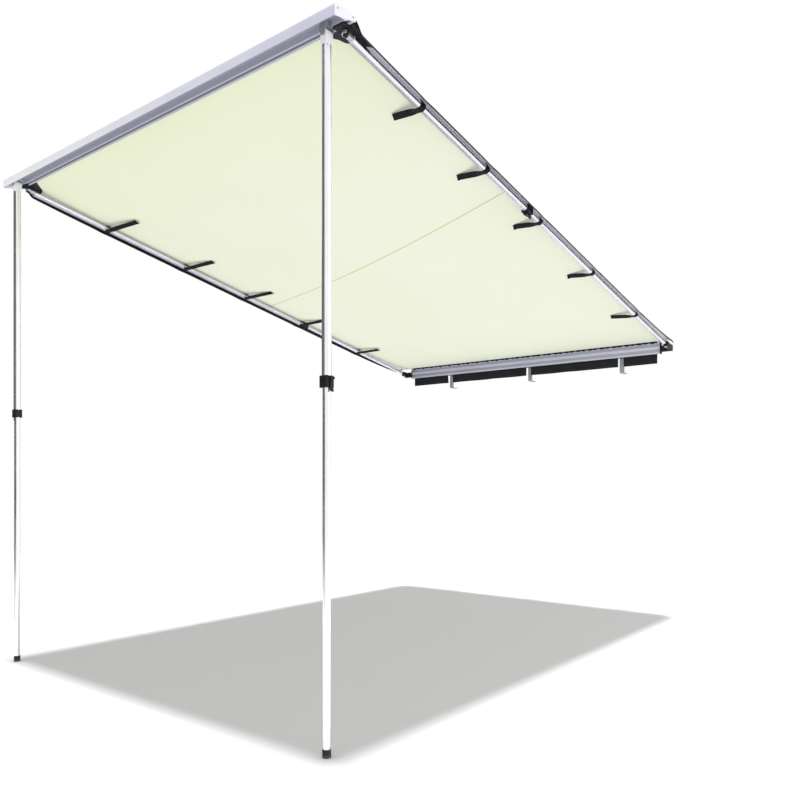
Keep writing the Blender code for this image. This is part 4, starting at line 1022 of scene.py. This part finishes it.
def strap_spot(side, points, lengths, place, length, width, off):
    """A point of a strap: along its path, across its width and off its middle."""
    sign = SIDES[side][1]
    at = min(max(length, 0.0), lengths[-1] - 1e-6)
    i = next(k for k in range(len(lengths) - 1) if lengths[k + 1] > at)
    part = (at - lengths[i]) / (lengths[i + 1] - lengths[i])
    point = points[i].lerp(points[i + 1], part)
    run = (points[min(i + 2, len(points) - 1)] - points[max(i - 1, 0)]).normalized()
    point = point + Vector((-run.y, run.x)) * off
    lean = STRAP_LEANS[side] * max(0.0, -point.x - LEAN_START)
    roll = STRAP_ROLLS[side] * smooth((length - lengths[LOOP_STEPS]) / ROLL_RUN)
    root = arm_pivots[side] + Vector((sign * point.x, 0.0, 0.0)) + outward * (place - lean)
    edge = root + outward * STRAP_WIDTH / 2 * math.cos(roll)
    cloth = height_over_arms(cloth_point(edge.x, (edge.y - front_slot.y) / level_run)) - CLOTH_THICK
    above = point.y + STRAP_WIDTH / 2 * math.sin(roll) + STRAP_THICK - cloth
    too_high = max(0.0, above) if roll else 0.0
    return root + outward * width * math.cos(roll) + square * (point.y + width * math.sin(roll) - too_high)


def strap(side, number):
    place = (arm_pivots[side].y - legs_line - STRAP_PLACES[side][number]) / inward.y
    radius = front_tube_radius if place > collar_middle(side) else rear_tube_radius
    points = strap_path(radius, STRAP_TAILS[side][number], STRAP_RISES[side])
    lengths = lengths_of(points)
    total = lengths[-1]
    rings = []
    for i in range(STRAP_STEPS + 1):
        ring = []
        for width, off in SECTION:
            length = (total - STRAP_SLANT * (width + 0.5)) * i / STRAP_STEPS
            thick = STRAP_THICK / 2 * off
            ring.append(strap_spot(side, points, lengths, place, length, width * STRAP_WIDTH, thick))
        rings.append(ring)
    name = f"strap_{side}{number + 1}"
    made = piece(f"{name}_webbing", skinned(rings), webbing, "base", 50.0)
    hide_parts(name)
    root = lengths[LOOP_STEPS] + BOX_START
    tip = root + BOX_LENGTH
    corners = [(root, -BOX_HALF), (tip, -BOX_HALF), (tip, BOX_HALF)]
    corners += [(root, BOX_HALF), (root, -BOX_HALF), (tip, BOX_HALF)]
    bm = bmesh.new()
    for (start, a), (end, b) in zip(corners, corners[1:]):
        run = math.hypot(end - start, (b - a) * STRAP_WIDTH)
        count = max(3, round(run / STITCH_PITCH))
        for k in range(count):
            line = []
            for t in ((k + 0.15) / count, (k + 0.85) / count):
                spot = (start + (end - start) * t, (a + (b - a) * t) * STRAP_WIDTH)
                line.append(strap_spot(side, points, lengths, place, *spot, STRAP_THICK / 2 + 0.0001))
            way = (line[1] - line[0]).normalized()
            across = way.cross(square).normalized() * 0.0003
            up = way.cross(across).normalized() * 0.0002
            stitch(bm, line, across, up)
    stitches = piece(f"{name}_stitches", bm, stitching, "base", 30.0)
    return made, stitches, total, place


straps = {}
for side in SIDES:
    for number in range(len(STRAP_PLACES[side])):
        straps[(side, number)] = strap(side, number)
print("straps:", len(straps), "lengths", [round(row[2], 3) for row in straps.values()])

# %% [markdown]
# ## Travel cover
#
# Under the base rail hangs the edge of the travel cover, which zips over the rolled awning
# on the road. Here it is open and falls in slack folds, deeper towards its hem. A long
# grid does it: down the front, round the hem and a little way up the back. A notch leaves
# room for each foot bracket, and a row of stitches runs along the hem.

# %% Cover cloth
COVER_INSET = 0.018
COVER_SLOT_DEPTH = 0.012
COVER_HANG = 0.057
COVER_FOLDS = 7
COVER_SWING = 0.0036
COVER_COLUMNS = 420
COVER_THICK = 0.0009
COVER_NOTCH = 0.036
COVER_NOTCH_TOP = 0.006
COVER_SEAM = COVER_HANG - 0.009
COVER_STITCHES = 340
dice = random.Random(7)
ripples = [(dice.uniform(9.0, 31.0), dice.uniform(0.0, 6.28), dice.uniform(0.0003, 0.0009)) for _ in range(7)]
cover_half = base_high.x - COVER_INSET
bracket_xs = [sum(corner.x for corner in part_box(f"foot_bracket_{number}")) / 2 for number in (1, 2, 3)]


def cover_wave(x, slack):
    """How far a point of the cover swings in depth, growing with its slack."""
    turn = math.pi * COVER_FOLDS * (x / cover_half + 1.0)
    swing = COVER_SWING * math.sin(turn)
    for pace, start, size in ripples:
        swing += size * math.sin(pace * x * 2.0 + start) * slack
    return swing * slack


def cover_point(x, height, back):
    """A point of the cover at a height below the rail, some way behind its middle."""
    slack = smooth(max(0.0, -height) / COVER_HANG) ** 0.8
    return Vector((x, base_low.y + COVER_SLOT_DEPTH + cover_wave(x, slack) + back, base_low.z + height))


def at_bracket(x, room):
    return any(abs(x - bracket_x) < room for bracket_x in bracket_xs)


section = [(0.0055, 0.0), (0.0, 0.0)]
section += [(-COVER_HANG * step / 14, 0.0) for step in range(1, 15)]
section += [(-COVER_HANG - 0.0006, 0.0007), (-COVER_HANG, 0.0014)]
section += [(-COVER_HANG + 0.004, 0.0016), (-COVER_HANG + 0.010, 0.0015), (-COVER_HANG + 0.013, 0.0013)]
cover_xs = [cover_half * (2 * i / COVER_COLUMNS - 1) for i in range(COVER_COLUMNS + 1)]
cover_mesh = grid([[cover_point(x, height, back) for height, back in section] for x in cover_xs])
notched = []
for face in cover_mesh.faces:
    middle = face.calc_center_median()
    if at_bracket(middle.x, COVER_NOTCH / 2) and middle.z < base_low.z - COVER_NOTCH_TOP:
        notched.append(face)
bmesh.ops.delete(cover_mesh, geom=notched, context="FACES")
cover_area = sum(face.calc_area() for face in cover_mesh.faces)
cover = piece("travel_cover", cover_mesh, cover_cloth, "base", 80.0)
thicken(cover, "Cloth thickness", COVER_THICK)
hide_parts("transit_cover")

bm = bmesh.new()
for i in range(COVER_STITCHES):
    ends = [(cover_half - 0.004) * (2 * (i + t) / COVER_STITCHES - 1) for t in (0.15, 0.85)]
    if not any(at_bracket(x, COVER_NOTCH / 2 + 0.001) for x in ends):
        line = [cover_point(x, -COVER_SEAM, -0.0006) for x in ends]
        stitch(bm, line, Vector((0.0, 0.0002, 0.0)), Vector((0.0, 0.0, 0.0003)))
cover_stitches = piece("cover_stitches", bm, stitching, "base", 30.0)
print("cover:", round(2 * cover_half, 3), "m wide,", round(cover_area, 4), "square metres")

# %% [markdown]
# ## Small fasteners
#
# The end caps are held by self-tapping screws in the rail's screw bosses, and each hinge
# bracket by two cap screws into the base rail's end. A recess with six lobes in a domed
# head hardly shows in the whole picture, but it reads at once in a close view.

# %% Screws
CAP_SCREW = (0.0036, 0.0016)
CAP_SCREW_SPOTS = ((0.14, 0.62), (0.86, 0.72))
HINGE_SCREW = (0.0042, 0.0024)
HINGE_SCREW_SETBACK = 0.0135
HINGE_SCREW_HEIGHTS = (0.022, 0.040)
RECESS_LOBES = 6


def screw(name, body, place, direction, radius, tall):
    """A domed head with a recess for the key."""
    profile = [(radius * 0.5, tall), (radius * 0.85, tall * 0.8), (radius, tall * 0.35), (radius, 0.0)]
    across = direction.orthogonal().normalized()
    other = direction.cross(across)

    def ring(size, height, cut=0.0, corners=24):
        points = []
        for i in range(corners):
            angle = 2 * math.pi * i / corners
            here = size * (1.0 - cut + cut * math.cos(RECESS_LOBES * angle))
            points.append(place + (across * math.cos(angle) + other * math.sin(angle)) * here + direction * height)
        return points

    rings = [ring(size, height) for size, height in reversed(profile)]
    rings += [ring(radius * 0.44, tall, 0.14), ring(radius * 0.40, tall * 0.35, 0.14)]
    return piece(name, skinned(rings), zinc, body, 40.0)


cap_low, cap_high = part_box("end_cap_r")
screws = []
for side, (_, sign) in SIDES.items():
    outward_x = Vector((sign, 0.0, 0.0))
    for number, (y_share, z_share) in enumerate(CAP_SCREW_SPOTS, 1):
        y = cap_low.y + (cap_high.y - cap_low.y) * y_share
        z = cap_low.z + (cap_high.z - cap_low.z) * z_share
        spot = Vector((sign * cap_high.x, y, z))
        screws.append(screw(f"cap_screw_{side}{number}", "front", spot, outward_x, *CAP_SCREW))
    hinge_low, hinge_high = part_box(f"hinge_bracket_{side}")
    hinge_x = hinge_high.x if sign > 0 else hinge_low.x
    for number, height in enumerate(HINGE_SCREW_HEIGHTS, 1):
        spot = Vector((hinge_x, base_low.y + HINGE_SCREW_SETBACK, base_low.z + height))
        screws.append(screw(f"hinge_screw_{side}{number}", "base", spot, outward_x, *HINGE_SCREW))
print("screws:", len(screws))

# %% [markdown]
# ## Put the cloth pieces on the base
#
# All canopy pieces and straps ride on the base, each with a mesh of its own. For a strap
# that stands in the way of a tube collar, the share of the motion it would keep when the
# collar pushes it ahead is worked out, but nothing uses that share.

# %% Cloth pieces on the base
COLLAR_ROOM = 0.034
for made in [canopy, *hems, *trims]:
    follows_slide(made)
for side in SIDES:
    pivot_to_slot = (rear_slot - arm_pivots[side]).dot(inward)
    pushed_to = collar_middle(side) - TRAVEL + pivot_to_slot
    for number in range(len(STRAP_PLACES[side])):
        made, stitches, total, place = straps[(side, number)]
        keep = 1.0 - TRAVEL / canopy_run
        if place < collar_middle(side):
            from_slot = place + pivot_to_slot
            pushed_to -= COLLAR_ROOM
            keep = min(keep, pushed_to / from_slot)
            pushed_to = keep * from_slot
        follows_slide(made)
        follows_slide(stitches)
print("sheets: canopy, cover and", len(straps), "straps")

# %% [markdown]
# ## Floor and surround
#
# A pale floor and a white surround keep the background plain. Most of the light comes
# evenly from the surround, with a little more from the right. The floor does not stand in
# the way of light from below: the underside of the canopy is the face of this picture and
# would be in deep shade. Further out its paper turns into plain white, so that no edge of
# it shows.

# %% Floor and surround
WHITE = (1.0, 1.0, 1.0, 1.0)
RIGHT = Vector((0.784, 0.620, 0.0))
FORWARD = Vector((-0.620, 0.784, 0.0))
FLOOR_SIZE = 60.0
FLOOR_SUNK = 0.0002
FLOOR_FADE = (3.4, 6.5)
SIDE_LIGHT = (0.88, 0.92)
LIGHT_FROM_BELOW = 0.98


def studio_object(name, bm, material):
    """A thing of the studio, which neither shades the awning nor tints it."""
    data = bpy.data.meshes.new(name)
    bm.to_mesh(data)
    bm.free()
    data.materials.append(material)
    made = bpy.data.objects.new(name, data)
    bpy.context.scene.collection.objects.link(made)
    made.visible_diffuse = False
    made.visible_shadow = False
    return made


paper = finish("floor_paper", (0.57, 0.57, 0.58), 0.9)
glow = add(paper, "ShaderNodeEmission", Strength=1.0)
centre = add(paper, "ShaderNodeTexCoord")
away = add(paper, "ShaderNodeVectorMath")
away.operation = "LENGTH"
wire(paper, centre.outputs["Object"], away.inputs[0])
blend = add(paper, "ShaderNodeMixShader")
wire(paper, spread(paper, away.outputs["Value"], *FLOOR_FADE), blend.inputs["Fac"])
wire(paper, shader_of(paper).outputs["BSDF"], blend.inputs[1])
wire(paper, glow.outputs["Emission"], blend.inputs[2])
wire(paper, blend.outputs["Shader"], paper.node_tree.nodes["Material Output"].inputs["Surface"])
floor_mesh = bmesh.new()
bmesh.ops.create_grid(floor_mesh, x_segments=1, y_segments=1, size=FLOOR_SIZE)
floor = studio_object("floor", floor_mesh, paper)
floor.location = (0.0, -1.5, ground_z - FLOOR_SUNK)

world = bpy.data.worlds.new("surround")
bpy.context.scene.world = world
world.use_nodes = True
background = world.node_tree.nodes["Background"]
background.inputs["Color"].default_value = WHITE
path = add(world, "ShaderNodeLightPath")
direction = add(world, "ShaderNodeTexCoord")
to_the_right = add(world, "ShaderNodeVectorMath")
to_the_right.operation = "DOT_PRODUCT"
to_the_right.inputs[1].default_value = RIGHT
wire(world, direction.outputs["Generated"], to_the_right.inputs[0])
level = spread(world, to_the_right.outputs["Value"], -0.9, 0.9, *SIDE_LIGHT)
below = spread(world, coordinate(world, "Generated", "Z"), -0.05, -0.30, 0.0, LIGHT_FROM_BELOW)
seen = combined(world, "MAXIMUM", level, below)
for ray in ("Is Camera Ray", "Is Glossy Ray", "Is Transmission Ray"):
    seen = combined(world, "MAXIMUM", seen, path.outputs[ray])
wire(world, seen, background.inputs["Strength"])
print("floor and surround ready")

# %% [markdown]
# ## Lamps
#
# A soft key lamp at the right and a smaller one overhead model the forms. The floor has a
# sun of its own, so that its paper can be white and still carry the awning's shadow.

# %% Lamps
KEY_POWER = 70.0
KEY_SIZE = 3.0
OVERHEAD_POWER = 40.0
OVERHEAD_SIZE = 1.6
FLOOR_SUN = 4.2
CENTRE_OF_WORK = Vector((0.0, -1.5, -0.2))


def lamp(name, place, target, size, power):
    """A square soft lamp, aimed at a target."""
    data = bpy.data.lights.new(name, "AREA")
    data.shape = "RECTANGLE"
    data.size = data.size_y = size
    data.energy = power
    made = bpy.data.objects.new(name, data)
    made.location = place
    made.rotation_euler = (target - place).to_track_quat("-Z", "Y").to_euler()
    made.visible_camera = False
    bpy.context.scene.collection.objects.link(made)


key_place = CENTRE_OF_WORK + RIGHT * 5.0 - FORWARD * 3.0 + Vector((0.0, 0.0, 0.8))
lamp("key", key_place, CENTRE_OF_WORK, KEY_SIZE, KEY_POWER)
lamp("overhead", Vector((0.3, -1.4, 6.0)), Vector((0.0, -1.5, -1.5)), OVERHEAD_SIZE, OVERHEAD_POWER)

sun_data = bpy.data.lights.new("floor_light", "SUN")
sun_data.energy = FLOOR_SUN
sun_data.angle = math.radians(4.0)
sun = bpy.data.objects.new("floor_light", sun_data)
bpy.context.scene.collection.objects.link(sun)
lit_by_sun = bpy.data.collections.new("lit_by_floor_light")
lit_by_sun.objects.link(floor)
sun.light_linking.receiver_collection = lit_by_sun

# %% [markdown]
# ## Reflection cards
#
# Bright metal shows what stands around it. Two dark cards stand and lie to the left. Only
# reflections see them, and they give the round tubes a dark side.

# %% Reflection cards
CARD_CENTRE_Y = -1.6
CARD_RADIUS = 4.4
CARD_FOOT = -1.45
CARD_HEIGHT = 4.6
CARD_START = -222.0
CARD_TURN = 142.0
CARD_STEPS = 24
LOW_CARD_X = (-1.75, -4.4)
LOW_CARD_Y = (-4.0, 1.6)
LOW_CARD_LIFT = 0.02


def card(name, rows, colour):
    """A dark card that only reflections see, as studios use beside bright metal."""
    made = studio_object(name, grid(rows), finish(f"{name}_card", colour, 1.0))
    made.visible_camera = False


upright = []
for i in range(CARD_STEPS + 1):
    angle = math.radians(CARD_START + CARD_TURN * i / CARD_STEPS)
    foot = Vector((CARD_RADIUS * math.cos(angle), CARD_CENTRE_Y + CARD_RADIUS * math.sin(angle), CARD_FOOT))
    upright.append([foot, foot + Vector((0.0, 0.0, CARD_HEIGHT))])
card("left_flag", upright, (0.10, 0.102, 0.118))
lying = [[Vector((x, y, ground_z + LOW_CARD_LIFT)) for y in LOW_CARD_Y] for x in LOW_CARD_X]
card("low_flag", lying, (0.20, 0.20, 0.24))
print("cards: left_flag, low_flag")

# %% [markdown]
# ## Camera
#
# The camera stands low before the awning's front right corner and looks level, so that the
# legs stay upright in the picture. Its lens is shifted instead of tilted.

# %% Camera
CAMERA_PLACE = (2.5385, -4.6092, -0.6440)
CAMERA_TURN = 38.3756
CAMERA_LENS = 33.715
CAMERA_SHIFT = 0.0939

scene = bpy.context.scene
scene.view_settings.view_transform = "Standard"
camera_data = bpy.data.cameras.new("camera")
camera_data.sensor_width = 36.0
camera_data.lens = CAMERA_LENS
camera_data.shift_y = CAMERA_SHIFT
camera_data.clip_end = 200.0
camera = bpy.data.objects.new("camera", camera_data)
camera.location = CAMERA_PLACE
camera.rotation_euler = (math.radians(90.0), 0.0, math.radians(CAMERA_TURN))
scene.collection.objects.link(camera)
scene.camera = camera
print("camera at", tuple(round(value, 3) for value in camera.location))
